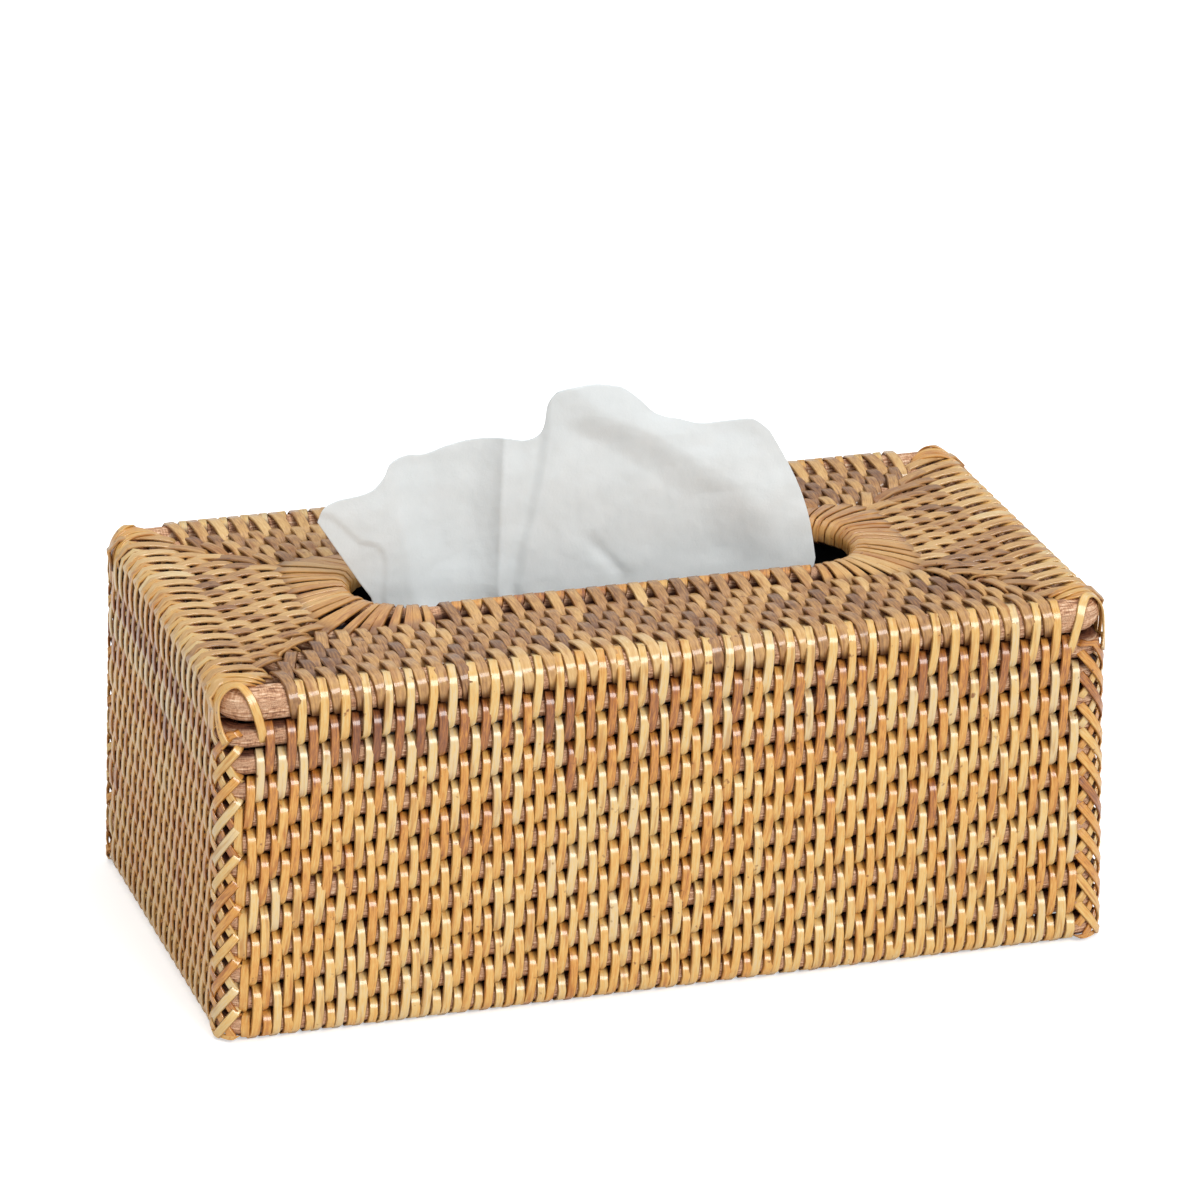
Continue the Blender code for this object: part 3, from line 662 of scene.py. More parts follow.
# Tone runs from dark brown through orange and honey to a pale, greyer straw
PEEL_STOPS = ((0.00, (0.19, 0.058, 0.018)), (0.22, (0.42, 0.148, 0.034)),
              (0.42, (0.69, 0.300, 0.050)), (0.64, (0.78, 0.450, 0.122)),
              (0.84, (0.79, 0.545, 0.215)), (1.00, (0.76, 0.575, 0.320)))
DECK_STOPS = ((0.00, (0.19, 0.080, 0.030)), (0.25, (0.44, 0.215, 0.070)),
              (0.50, (0.66, 0.378, 0.128)), (0.75, (0.77, 0.500, 0.205)),
              (1.00, (0.86, 0.655, 0.345)))
peel = peel_finish("rattan_peel", PEEL_STOPS, roughness=0.42)
deck_peel = peel_finish("weathered_peel", DECK_STOPS, roughness=0.5)

STITCH_TREE = stitch_tree()
half_side = SIDE_PITCH / 2
edge_drop = (EDGE_ROD["height"] - side_rod_height(1)) / 2
edge_in = (EDGE_ROD["inset"] - SIDE_ROD["inset"]) / 2
side_belt = belt((0, half_side, SIDE_ROD["radius"]), (0, -half_side, SIDE_ROD["radius"]), PEEL_LIFT)
edge_belt = belt((-edge_in, edge_drop, EDGE_ROD["radius"]),
                 (edge_in, -edge_drop, SIDE_ROD["radius"]), PEEL_LIFT)
foot_loop = single_loop(SIDE_ROD["radius"], PEEL_LIFT)
# The open side of the edge rod and of the rim rod: outward and up, half and half
SLANT_OUT = (0.72, 0.69)
WALL_KINDS = {
    "edge": (stitch_shape("edge_turn", edge_belt, PEEL_WIDTH, open_high=SLANT_OUT), peel),
    "side": (stitch_shape("side_turn", side_belt, PEEL_WIDTH), peel),
    "foot": (stitch_shape("foot_turn", foot_loop, PEEL_WIDTH), peel),
}
WALL_TONES = {"front": 0, "right": -0.02, "back": -0.03, "left": -0.09}
# Rows from the edge down: how pale each is on the whole
ROW_TONES = (0.76, 0.25, 0.90, 0.44, 0.70, 0.62, 0.58, 0.70, 0.64, 0.72, 0.66, 0.70, 0.62)
# Drifts of tone: how much, how fast along a row and from row to row, and a seed
TONE_DRIFTS = ((0.26, 21, 7.3, 0), (0.20, 75, 3.1, 9))
TONE_MIX = 0.10
DARKEST = 0.02
PALEST = 0.98
# Keeps the soft noise of one wall's tones apart from the next wall's
SEED_STEP = 5.7
TURN_JITTER = 0.00018
LONG_WALLS = ("front", "back")
CORNERS = {"front_left": (-1, -1), "front_right": (1, -1),
           "back_left": (-1, 1), "back_right": (1, 1)}
# The corners at a wall's two ends, seen from outside
WALL_ENDS = {"front": ("front_left", "front_right"), "back": ("back_right", "back_left"),
             "right": ("front_right", "back_right"), "left": ("back_left", "front_left")}
# The edge rod stays bare this far from each corner, and the next rows a part of that
BARE_RUNS = {"front_left": 0.0225, "front_right": 0.0165,
             "back_left": 0.0185, "back_right": 0.0205}
END_BARE_RUN = 0.0150
ROW_BARENESS = (1, 0.64, 0.46)
# Turns that a long wall has beyond its straight run, on the bend of a corner
MORE_COLUMNS = {"front_left": 2}
# The sine of how far round a bend a turn can stand
MOST_BEND = 0.7


def soft_noise(x, y, z=0):
    return noise.noise(Vector((x, y, z)))


def strip_tone(base, place, row, seed, chance):
    """A strip's tone, which drifts along its row because one long strip makes many turns."""
    drift = sum(most * soft_noise(place * along, row * down, seed + more)
                for most, along, down, more in TONE_DRIFTS)
    return min(PALEST, max(DARKEST, base + drift + chance.uniform(-TONE_MIX, TONE_MIX)))


def turns_mesh(name, spots):
    """Points for spots of (place, turn, stretch, tone), as the stitch tree reads them."""
    mesh = bpy.data.meshes.new(name)
    mesh.from_pydata([spot[0] for spot in spots], [], [])
    for index, (key, kind, field) in enumerate((("turn", "FLOAT_VECTOR", "vector"),
                                                ("stretch", "FLOAT_VECTOR", "vector"),
                                                ("tone", "FLOAT", "value")), 1):
        for point, spot in zip(mesh.attributes.new(key, kind, "POINT").data, spots):
            setattr(point, field, spot[index])
    return mesh


def bind(name, node, kinds, spots, lean, width_change, seed):
    """Grow the turns of each kind at their spots, and join them into the piece for a node."""
    parts = []
    for kind, (shape, finish) in kinds.items():
        if spots[kind]:
            parts.append(grow(f"{name}_{kind}", turns_mesh(name, spots[kind]), STITCH_TREE,
                              {"Turn Of Peel": shape, "Lean": lean, "Width Change": width_change,
                               "Seed": seed, "Peel": finish}, "cover"))
    bpy.ops.object.select_all(action="DESELECT")
    for part in parts:
        part.select_set(True)
    bpy.context.view_layer.objects.active = parts[0]
    bpy.ops.object.join()
    parts[0].name = name
    parts[0].data.name = name
    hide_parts(node)


def half_wall(wall):
    return HALF_LENGTH if wall in LONG_WALLS else HALF_DEPTH


def wall_place(wall, run, out, height):
    """A point by its place along a wall seen from outside, depth from its face and height."""
    half_out = HALF_DEPTH if wall in LONG_WALLS else HALF_LENGTH
    local = Vector((-run, half_out - out + flare_at(height), 0))
    local.rotate(Matrix.Rotation(WALL_TURNS[wall], 3, "Z"))
    return Vector((local.x, local.y, height))


def bound_spot(wall, run, inset, height):
    """A turn's place and its turning, which follow the rods into the bend of a corner."""
    straight = half_wall(wall) - SIDE_ROD["inset"] - SIDE_ROD["bend"]
    over = (abs(run) - straight) / (SIDE_ROD["bend"] + SIDE_ROD["radius"])
    if over <= 0:
        return wall_place(wall, run, inset, height), (0, 0, WALL_TURNS[wall])
    turned = math.asin(min(over, MOST_BEND))
    along = math.copysign(straight + SIDE_ROD["bend"] * math.sin(turned), run)
    inset += SIDE_ROD["bend"] * (1 - math.cos(turned))
    return (wall_place(wall, along, inset, height),
            (0, 0, WALL_TURNS[wall] + math.copysign(turned, run)))


def wall_columns(wall):
    count = round(2 * (half_wall(wall) - CORNER_ZONE) / COLUMN_PITCH)
    return [(index - (count - 1) / 2) * COLUMN_PITCH for index in range(count)]


def row_runs(wall, row):
    """Where a row's turns stand along a wall, every other column, drifting down the rows."""
    columns = wall_columns(wall)
    long_wall = wall in LONG_WALLS
    edges = []
    for corner in WALL_ENDS[wall]:
        more = MORE_COLUMNS.get(corner, 0) if long_wall else 0
        edge = columns[-1] + COLUMN_PITCH * (0.5 + more)
        bare = BARE_RUNS[corner] if long_wall else END_BARE_RUN
        if row < len(ROW_BARENESS):
            edge = min(edge, half_wall(wall) - bare * ROW_BARENESS[row])
        edges.append(edge)
    spare = SIDE_RODS // 2
    for column in range(-spare, len(columns) + spare):
        run = columns[0] + column * COLUMN_PITCH + ROW_DRIFT * row
        if (column + row) % 2 == 0 and -edges[0] <= run <= edges[1]:
            yield run


for seed, wall in enumerate(WALL_TURNS):
    chance = random.Random(100 + seed)
    spots = {kind: [] for kind in WALL_KINDS}
    for row in range(SIDE_RODS + 1):
        foot = row == SIDE_RODS
        kind = "edge" if row == 0 else "foot" if foot else "side"
        height = LAST_ROD_HEIGHT if foot else (side_rod_height(row) + side_rod_height(row + 1)) / 2
        inset = SIDE_ROD["inset"] + (edge_in if row == 0 else 0)
        base = ROW_TONES[row] + (0 if foot else WALL_TONES[wall])
        for run in row_runs(wall, row):
            shifted = run
            if not foot:
                shifted = (run + chance.uniform(-1, 1) * TURN_JITTER
                           + ROW_WANDER * soft_noise(run * WANDER_PACE[0], row * WANDER_PACE[1],
                                                     seed))
            spots[kind].append((*bound_spot(wall, shifted, inset, height), (1, 1, 1),
                                strip_tone(base, run, row, seed * SEED_STEP, chance)))
    bind(f"{wall}_binding", f"{wall}_weave", WALL_KINDS, spots, lean=0.05,
         width_change=0.09, seed=seed)

# Woven top
# The same binding over five thin rods, in four parts that meet on the diagonals. Its strips
# are duller and browner, close together, and lean; near a diagonal they turn towards it.
DECK_PEEL_WIDTH = 0.00385
RIM_PEEL_WIDTH = 0.0038
# Columns that the top has beyond the wall's at each end, out to the diagonal
EXTRA_COLUMNS = 4
DECK_LEAN = 0.09
END_MITRE_LEAN = math.radians(50)
LONG_MITRE_LEAN = math.radians(22)
MITRE_REACH = 0.0060
MITRE_STRETCH = 0.75
MITRE_MARGIN = 0.0016
OUTER_ROW_SHARE = 0.25
DECK_TONES = (0.64, 0.36, 0.48, 0.44, 0.54, 0.60)
DECK_PART_TONES = {"front": -0.20, "right": -0.04, "back": -0.12, "left": -0.05}
# How much one strip of the top may differ from the next
DECK_MIX = 0.20
DECK_JITTER = 0.0002
RIM_CLOSE_TONE = 0.46
# How far from a corner the outermost row ends, on a long part and on an end part
LONG_ROW_END = 0.0185
END_ROW_END = 0.0130
# The rods that the top's rows go round, from the edge rod in to the rim rod
top_insets = [top_rod_inset(index) for index in range(1, TOP_RODS + 1)]
DECK_INSETS = (EDGE_ROD["inset"], *top_insets, RIM_ROD["inset"])
DECK_RODS = (EDGE_ROD, *([TOP_ROD] * TOP_RODS), RIM_ROD)


def deck_turn(name, row, **open_sides):
    """The shape of a turn round a row's outer and inner rod."""
    outer, inner = DECK_RODS[row:row + 2]
    apart = DECK_INSETS[row + 1] - DECK_INSETS[row]
    middle = (inner["height"] + outer["height"]) / 2
    path = belt((inner["height"] - middle, apart / 2, inner["radius"]),
                (outer["height"] - middle, -apart / 2, outer["radius"]), PEEL_LIFT, DECK_LEAN)
    return stitch_shape(name, path, DECK_PEEL_WIDTH, **open_sides)


rim_loop = single_loop(RIM_ROD["radius"], PEEL_LIFT)
DECK_KINDS = {
    "outer": (deck_turn("deck_outer_turn", 0, open_low=(0.72, -0.69)), deck_peel),
    "top": (deck_turn("deck_turn", 1), deck_peel),
    "rim": (deck_turn("deck_rim_turn", TOP_RODS, open_high=SLANT_OUT), deck_peel),
    "close": (stitch_shape("rim_close_turn", rim_loop, RIM_PEEL_WIDTH, open_high=(0.6, 0.8),
                           open_low=(0.8, 0.2)), peel),
}
for seed, wall in enumerate(WALL_TURNS):
    chance = random.Random(200 + seed)
    long_part = wall in LONG_WALLS
    mitre_lean = LONG_MITRE_LEAN if long_part else END_MITRE_LEAN
    mitre_stretch = MITRE_STRETCH / 3 if long_part else MITRE_STRETCH
    tone_seed = 31 + seed * SEED_STEP
    columns = wall_columns(wall)
    spots = {kind: [] for kind in DECK_KINDS}
    for row in range(TOP_RODS + (1 if long_part else 0)):
        kind = "outer" if row == 0 else "top" if row < TOP_RODS else "rim"
        middle = (DECK_INSETS[row + 1] + DECK_INSETS[row]) / 2
        height = (DECK_RODS[row]["height"] + DECK_RODS[row + 1]["height"]) / 2
        limit = half_wall(wall) - middle - MITRE_MARGIN
        if row == 0:
            limit = half_wall(wall) - (LONG_ROW_END if long_part else END_ROW_END)
        if row == TOP_RODS:
            limit = RIM_HALF_STRAIGHT
        for column in range(-EXTRA_COLUMNS, len(columns) + EXTRA_COLUMNS):
            run = columns[0] + column * COLUMN_PITCH
            if (column + row) % 2 == 0 or abs(run) > limit:
                continue
            near = 0 if row == TOP_RODS else math.exp(-(limit - abs(run)) / MITRE_REACH)
            near *= OUTER_ROW_SHARE if row == 0 else 1
            base = DECK_TONES[row] + DECK_PART_TONES[wall] + chance.uniform(-DECK_MIX, DECK_MIX)
            tone = strip_tone(base, run, row, tone_seed, chance)
            shifted = run + chance.uniform(-1, 1) * DECK_JITTER
            turn = (math.pi / 2, 0, WALL_TURNS[wall] + math.copysign(near * mitre_lean, run))
            spots[kind].append((wall_place(wall, shifted, middle, height), turn,
                                (1, 1, 1 + near * mitre_stretch), tone))
            if row == TOP_RODS:
                spots["close"].append((
                    wall_place(wall, run + COLUMN_PITCH, RIM_ROD["inset"], RIM_ROD["height"]),
                    (0, 0, WALL_TURNS[wall] + math.pi), (1, 1, 1),
                    strip_tone(RIM_CLOSE_TONE, run, 9, tone_seed, chance)))
    bind(f"deck_{wall}_binding", f"deck_{wall}_weave", DECK_KINDS, spots, lean=0.07,
         width_change=0.08, seed=40 + seed)

# Round ends of the oval
# Honey-coloured peel is wrapped close round the rim rod at both ends and fans out to the
# last rod of the top, so that the square weave closes neatly round the oval.
FAN_TURNS = 27
FAN_RIM_WIDTH = 0.00222
FAN_OUTER_WIDTH = 0.0034
# Strips that reach further than this, towards a corner, are broader in proportion
FAN_FULL_DISTANCE = 0.033
# How uneven its strips are: their turn as a share of a step, their width and their rise
FAN_TURN_MIX = 0.22
FAN_WIDTH_MIX = 0.12
FAN_RISE_MIX = 0.00045
FAN_LIFT = -0.0002
FAN_STOPS = ((0.00, (0.26, 0.095, 0.025)), (0.25, (0.50, 0.210, 0.052)),
             (0.50, (0.64, 0.325, 0.090)), (0.75, (0.73, 0.430, 0.148)),
             (1.00, (0.81, 0.565, 0.265)))
# How much the strips darken towards their outer ends, where they go under the last rod
FAN_END_SHADE = 0.75
FAN_OPEN_RIM = Vector((0.6, 0.8))
FAN_THICKNESS = PEEL_THICKNESS * 0.85
FAN_LEAN = 0.12
# How far a strip swings sideways as it goes out of sight, at the rim
FAN_SWING = 0.0011
FAN_TONE = 0.50
FAN_TONE_MIX = 0.14
fan_peel = peel_finish("rim_peel", FAN_STOPS, roughness=0.42)


def last_ring_distance(direction):
    """How far the last top rod lies from the round end's centre in a direction."""
    half_x = HALF_LENGTH - DECK_INSETS[TOP_RODS] - RIM_HALF_STRAIGHT
    half_y = HALF_DEPTH - DECK_INSETS[TOP_RODS]
    bend = TOP_ROD["bend"] + TOP_ROD["bend_growth"] * (TOP_RODS - 1)
    across = max(abs(direction.x), 1e-6)
    up = max(abs(direction.y), 1e-6)
    straight = min(half_x / across, half_y / up)
    centre = Vector((half_x - bend, half_y - bend))
    flat = Vector((across, up))
    along = centre.dot(flat)
    short = along * along - centre.length_squared + bend * bend
    if short <= 0:
        return straight
    on_bend = along + math.sqrt(short)
    spot = flat * on_bend
    return on_bend if spot.x > centre.x and spot.y > centre.y else straight


fan_height = (RIM_ROD["height"] + TOP_ROD["height"]) / 2
for side, word in ((-1, "left"), (1, "right")):
    chance = random.Random(300 + side)
    bm, marks = bmesh.new(), {}
    for turn in range(FAN_TURNS):
        mixed = turn + 0.5 + chance.uniform(-1, 1) * FAN_TURN_MIX
        angle = math.pi * (mixed / FAN_TURNS - 0.5)
        broad = 1 + chance.uniform(-1, 1) * FAN_WIDTH_MIX
        direction = Vector((side * math.cos(angle), math.sin(angle), 0))
        sideways = Vector((-direction.y, direction.x, 0))
        far = last_ring_distance(direction)
        outer_width = FAN_OUTER_WIDTH * max(1, far / FAN_FULL_DISTANCE)
        apart = far - RIM_RADIUS
        centre = Vector((side * RIM_HALF_STRAIGHT, 0, fan_height))
        centre += direction * (RIM_RADIUS + far) / 2
        path = belt((RIM_ROD["height"] - fan_height, apart / 2, RIM_ROD["radius"]),
                    (TOP_ROD["height"] - fan_height, -apart / 2, TOP_ROD["radius"]),
                    FAN_LIFT + chance.uniform(0, FAN_RISE_MIX), FAN_LEAN)
        spots = []
        for place, normal, shift, front in path:
            share = min(1, max(0, 0.5 - place.y / apart))
            width = (FAN_RIM_WIDTH + (outer_width - FAN_RIM_WIDTH) * share) * broad
            seen = normal.dot(FAN_OPEN_RIM) if place.y > 0 else normal.x
            spots.append((centre - direction * place.y + Vector((0, 0, place.x))
                          + sideways * (shift * FAN_SWING * (1 + share)),
                          sideways, Vector((0, 0, normal.x)) - direction * normal.y,
                          width, FAN_THICKNESS,
                          max(FAN_END_SHADE * share ** 2, 1 - TUCK_SHADE_GAIN * seen)))
        base = FAN_TONE + chance.uniform(-FAN_TONE_MIX, FAN_TONE_MIX)
        add_strip(bm, spots, marks, strip_tone(base, angle / 30, 2, 3 + side, chance))
    finish_strips(bm, marks)
    fan = piece_from(f"rim_binding_{word}", bm, fan_peel, "cover")
    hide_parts(f"rim_wrap_{word}")

# Crossed lashings
# At each upright corner the rods bend bare, and two strips of peel cross over them, one
# crossing for each rod, tucked behind the rods at both sides of the corner.
LASH_WIDTH = 0.0028
LASH_THICKNESS = 0.00075
LASH_LIFT = -0.0001
LASH_STEPS = 12
LASH_JITTER = 0.0006
LASH_SLOPE = 1.42
LASH_SLOPE_MIX = (0.93, 1.07)
LASH_REACH_MIX = (0.90, 1.0)
# The lowest and the highest that a crossing's strips go
LASH_LOW = LASH_WIDTH * 0.62
LASH_HIGH = side_rod_height(1) + SIDE_ROD["radius"] * 0.6
# How far a crossing lies from the middle of its bend, towards the long wall
LASH_SHIFTS = {"front_left": -0.0020}
# How far its strips reach from there towards the end wall and towards the long wall
LASH_REACHES = {"front_left": (0.0056, 0.0058)}
LASH_REACH = (0.0064, 0.0074)
# The strip that comes down from the long wall lies over the other for this much more
LASH_OVERLAP = 0.55
LASH_RISE = 2.2
# From this share of its reach a strip goes behind the rods, this deep and this dark
TUCK_FROM = 0.76
TUCK_DEPTH = 0.0026
TUCK_SHADE = 0.7
# How pale the strips of the crossings are, from the upper ones down, and then again
LASH_TONES = (0.34, 0.70, 0.36, 0.72, 0.56, 0.74, 0.46)
# The plain strip behind each gap between two bare rods
INNER_WIDTH = 0.0046
INNER_GAP = 0.0001
INNER_OUT = -2 * SIDE_ROD["radius"] - INNER_GAP - LASH_THICKNESS
INNER_TONE = 0.4
INNER_SHADE = 0.6
HOOK_TONE = 0.58
MM = 0.001
# Each strip that hooks round an upper corner: places by their distances in mm from the end
# wall's face, from the long wall's face and from the table, each with its outward direction
HOOKS = (
    ((1.4, 17.0, 91.5, -1, 0, 0), (1.3, 16.6, 97.5, -1, 0, 0), (1.4, 16.0, 101.8, -1, 0, 0.2),
     (2.8, 15.2, 104.8, -1, 0, 1), (5.4, 14.2, 106.5, -0.2, 0, 1), (9.0, 13.0, 106.9, 0, 0, 1),
     (13.0, 12.0, 106.3, 0, 0, 1), (16.2, 12.4, 104.8, 0, 0, 1)),
    ((1.4, 13.6, 91.8, -1, 0, 0), (1.3, 13.0, 97.5, -1, 0, 0), (1.4, 12.4, 101.8, -1, 0, 0.2),
     (2.8, 11.6, 104.8, -1, 0, 1), (5.4, 10.7, 106.5, -0.2, 0, 1), (8.6, 9.8, 106.8, 0, 0, 1),
     (12.2, 9.4, 106.2, 0, 0, 1), (15.0, 10.2, 104.8, 0, 0, 1)),
    ((1.4, 10.6, 92.2, -1, -0.1, 0), (1.3, 9.8, 97.5, -1, -0.1, 0), (1.5, 9.2, 101.8, -1, -0.1, 0.2),
     (2.9, 8.5, 104.8, -1, -0.1, 1), (5.2, 7.8, 106.4, -0.3, 0, 1), (8.2, 7.2, 106.6, 0, 0, 1),
     (11.4, 7.6, 105.9, 0, 0, 1), (13.6, 9.2, 104.6, 0, 0, 1)),
    ((3.2, 2.9, 91.2, -1, -1, 0), (2.2, 4.6, 94.0, -1, -0.6, 0), (1.7, 6.4, 98.2, -1, -0.3, 0),
     (1.9, 7.0, 102.0, -1, -0.2, 0.3), (3.3, 6.9, 104.9, -1, -0.2, 1), (5.4, 6.2, 106.6, -0.3, -0.1, 1),
     (7.6, 5.0, 106.9, 0, -0.3, 1), (9.4, 3.2, 105.0, 0, -1, 1), (10.8, 1.6, 101.8, 0, -1, 0.2),
     (12.0, 1.3, 98.0, 0, -1, 0), (13.0, 1.5, 94.2, 0, -1, -0.1), (13.6, 2.7, 91.0, 0, -1, -1)),
)
HOOK_STEPS = 4


def soft_step(share):
    share = min(1, max(0, share))
    return share * share * (3 - 2 * share)


def mirrored(signs, x, y, z):
    """A place or a direction at the back right corner, taken to the corner with these signs."""
    return Vector((signs[0] * x, signs[1] * y, z))


def corner_surface(signs, along, height, out):
    """A point on the rods' outside, a way from a bend's middle, more than 0 to the long wall."""
    round_radius = SIDE_ROD["bend"] + SIDE_ROD["radius"]
    quarter = round_radius * math.pi / 4
    on_bend = max(-quarter, min(quarter, along))
    reach = flare_at(height) - SIDE_ROD["inset"] - SIDE_ROD["bend"]
    centre = Vector((HALF_LENGTH + reach, HALF_DEPTH + reach))
    angle = math.pi / 4 + on_bend / round_radius
    normal = pointing(angle)
    tangent = pointing(angle + math.pi / 2)
    spot = centre + normal * (round_radius + out) + tangent * (along - on_bend)
    return (mirrored(signs, spot.x, spot.y, height), mirrored(signs, normal.x, normal.y, 0),
            mirrored(signs, tangent.x, tangent.y, 0))


def curve_between(a, b, c, d, part):
    """A number on a smooth curve from b to c, where a comes before them and d after."""
    return 0.5 * (2 * b + (c - a) * part + (2 * a - 5 * b + 4 * c - d) * part ** 2
                  + (3 * b - a - 3 * c + d) * part ** 3)


def smooth_through(rows, steps):
    """Rows of numbers with more rows laid in between on a smooth curve."""
    filled = []
    for index in range(len(rows) - 1):
        four = (rows[max(index - 1, 0)], rows[index], rows[index + 1],
                rows[min(index + 2, len(rows) - 1)])
        filled += [[curve_between(*numbers, step / steps) for numbers in zip(*four)]
                   for step in range(steps)]
    return filled + [list(rows[-1])]


def hook_spots(rows, signs):
    """Spots of a strip that hooks round an upper corner."""
    places = []
    for u, v, height, nu, nv, nz in smooth_through(rows, HOOK_STEPS):
        flare = flare_at(height * MM)
        places.append((mirrored(signs, HALF_LENGTH + flare - u * MM,
                                HALF_DEPTH + flare - v * MM, height * MM),
                       mirrored(signs, -nu, -nv, nz).normalized()))
    spots = []
    for index, (place, normal) in enumerate(places):
        run = places[min(index + 1, len(places) - 1)][0] - places[max(index - 1, 0)][0]
        across = normal.cross(run).normalized()
        normal = run.cross(across).normalized()
        place = place + normal * LASH_LIFT
        end = min(index, len(places) - 1 - index) / HOOK_STEPS
        spots.append((place, across, normal, LASH_WIDTH, LASH_THICKNESS,
                      TUCK_SHADE * max(0, 1 - end)))
    return spots


for seed, (corner, signs) in enumerate(CORNERS.items()):
    chance = random.Random(400 + seed)
    bm, marks = bmesh.new(), {}
    centre = LASH_SHIFTS.get(corner, 0)
    to_end, to_long = LASH_REACHES.get(corner, LASH_REACH)
    for rod in range(1, SIDE_RODS + 1):
        for hand in (1, -1):
            level = side_rod_height(rod) - SIDE_PITCH * 0.5 + chance.uniform(-1, 1) * LASH_JITTER
            level += SIDE_PITCH * 0.25 * hand
            slope = LASH_SLOPE * chance.uniform(*LASH_SLOPE_MIX)
            upper, lower = (to_long, to_end) if hand > 0 else (to_end, to_long)
            upper *= chance.uniform(*LASH_REACH_MIX)
            spots = []
            for step in range(LASH_STEPS + 1):
                along = upper - (upper + lower) * step / LASH_STEPS
                share = along / (upper if along > 0 else lower)
                height = max(LASH_LOW, min(LASH_HIGH, level + slope * along))
                tuck = max(0, abs(share) - TUCK_FROM) / (1 - TUCK_FROM)
                over = soft_step(0.5 + (share + LASH_OVERLAP * hand) * LASH_RISE)
                out = LASH_LIFT + over * LASH_THICKNESS - TUCK_DEPTH * tuck ** 2
                place, normal, tangent = corner_surface(signs, centre + along * hand, height, out)
                across = normal.cross(tangent * hand + Vector((0, 0, slope))).normalized()
                spots.append((place, across, normal, LASH_WIDTH, LASH_THICKNESS,
                              tuck * TUCK_SHADE))
            base = LASH_TONES[(2 * rod + (hand < 0)) % len(LASH_TONES)]
            add_strip(bm, spots, marks, strip_tone(base, level, hand, seed, chance))
        if rod < SIDE_RODS:
            level = (side_rod_height(rod) + side_rod_height(rod + 1)) / 2
            spots = []
            for step in range(LASH_STEPS + 1):
                along = 2 * step / LASH_STEPS - 1
                place, normal, tangent = corner_surface(
                    signs, along * max(LASH_REACH), level + along * SIDE_PITCH * 0.1, INNER_OUT)
                spots.append((place, normal.cross(tangent).normalized(), normal, INNER_WIDTH,
                              LASH_THICKNESS, INNER_SHADE))
            add_strip(bm, spots, marks, strip_tone(INNER_TONE, level, 5, seed, chance))
    for hook, rows in enumerate(HOOKS):
        add_strip(bm, hook_spots(rows, signs), marks,
                  strip_tone(HOOK_TONE, hook / 50, 3, seed, chance))
    finish_strips(bm, marks)
    lashing = piece_from(f"{corner}_lashing", bm, peel, "cover")
    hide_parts(f"{corner}_under_lashing", f"{corner}_over_lashing")

# Tissue
# One thin soft tissue stands up through the oval, half out of the stack. It is a single
# sheet gathered in the carton's slot, with a corner folded back on its left.
TISSUE_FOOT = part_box("pop_up_tissue")[0][2]
TISSUE_RIM = 0.1025
# The free edge from left to right, as (x, z) points in millimetres
TISSUE_TOP = ((-86, 128), (-84, 132), (-80, 134), (-73, 135), (-69, 136.5), (-66, 140),
              (-64, 144), (-59.5, 146), (-54, 146), (-47, 148), (-41, 149), (-35, 149),
              (-29, 148), (-24, 147), (-20, 148), (-18, 151), (-17, 157), (-15, 160),
              (-13, 161), (-8, 161.6), (-3, 162), (2, 161.2), (6, 160), (11, 156), (15, 152),
              (19, 150), (23, 149), (29.5, 147), (37, 147), (44, 147), (47, 146), (51, 142.5))
TISSUE_RIM_SPAN = (-0.0700, 0.0660)
TISSUE_NECK = 0.0568
TISSUE_BULGE = 0.0026
# Soft crumples: how deep, their breadth and height, and a seed
TISSUE_CRUMPLES = ((0.95, 19, 23, 3.3), (0.40, 7.5, 9, 7.1), (0.10, 2.6, 3.0, 1.7))
TISSUE_THICKNESS = 0.0002
TISSUE_COLUMNS = 256
TISSUE_ROWS = 104
TISSUE_NECK_ROWS = 8
# Moving a point by y towards the back shifts it in the picture; this undoes that shift
SIGHT_X = 0.28381 / 0.88605
SIGHT_Z = -0.36657 / 0.88605
# The shift grows from the rim up, this many times as fast as the height
SIGHT_RISE = 4
# How much flatter the folds are at the foot
NECK_CALM = 0.3
# Lines of the folds, as (z, x) points in millimetres from the top down
TISSUE_LOBE_EDGE = ((149.7, -18.2), (138.5, -19.6), (126, -21.9), (115.8, -24.2), (107, -25.7),
                    (96, -27.6))
TISSUE_UPRIGHT = ((148.4, -29.9), (136.5, -30.4), (124, -30.9), (114, -31.2), (100, -31.8))
TISSUE_LEFT_RIDGE = ((142.8, -62.5), (127.3, -61.0), (108.4, -58.0), (100, -57))
TISSUE_SHADE = ((164, -22), (152, -7.5), (144, 8), (134.5, 22), (125, 35), (114, 42), (100, 48))
TISSUE_SMALL = ((116, -4.6), (109, 0.6), (103, 5.6), (99, 9))
# Folds beside their lines: how deep, where they start or peak, and how broad, in millimetres
SHEET_BACK = 0.9
LOBE_STEP = (1.3, -1.4, 4.0)
LOBE_CREST = (0.8, 5.0, 4.5)
CREST_REACH = 13
CREST_SHARPNESS = 2.3
CREST_HEIGHT = 0.7
CREST_FALL = (1, 0, 5)
VALLEY_DEPTH = 5.2
VALLEY_START = (1, -4, 16)
VALLEY_LOW = 0.6
VALLEY_DEEPENS = (0.4, 100, 25)
LEFT_CREST = (0.45, 0, 2.0)
LEFT_HOLLOW = (0.35, 5.0, 3.6)
FLAP_RIGHT = -56
FLAP_DEPTH = 0.55
FLAP_STEP = (1, -1.2, 2.4)
ROLL_BEGIN = (1, -24, 22)
ROLL_FORWARD = (3.0, -11, 21)
ROLL_BACK = (2.0, 8, 28)
TOP_FORWARD = (1.2, 138, 24)
SMALL_CREASE = (1.0, 0, 3.0)
SMALL_TOP = 118
SMALL_FADE = 8
DENT = (1.1, 0, 1)
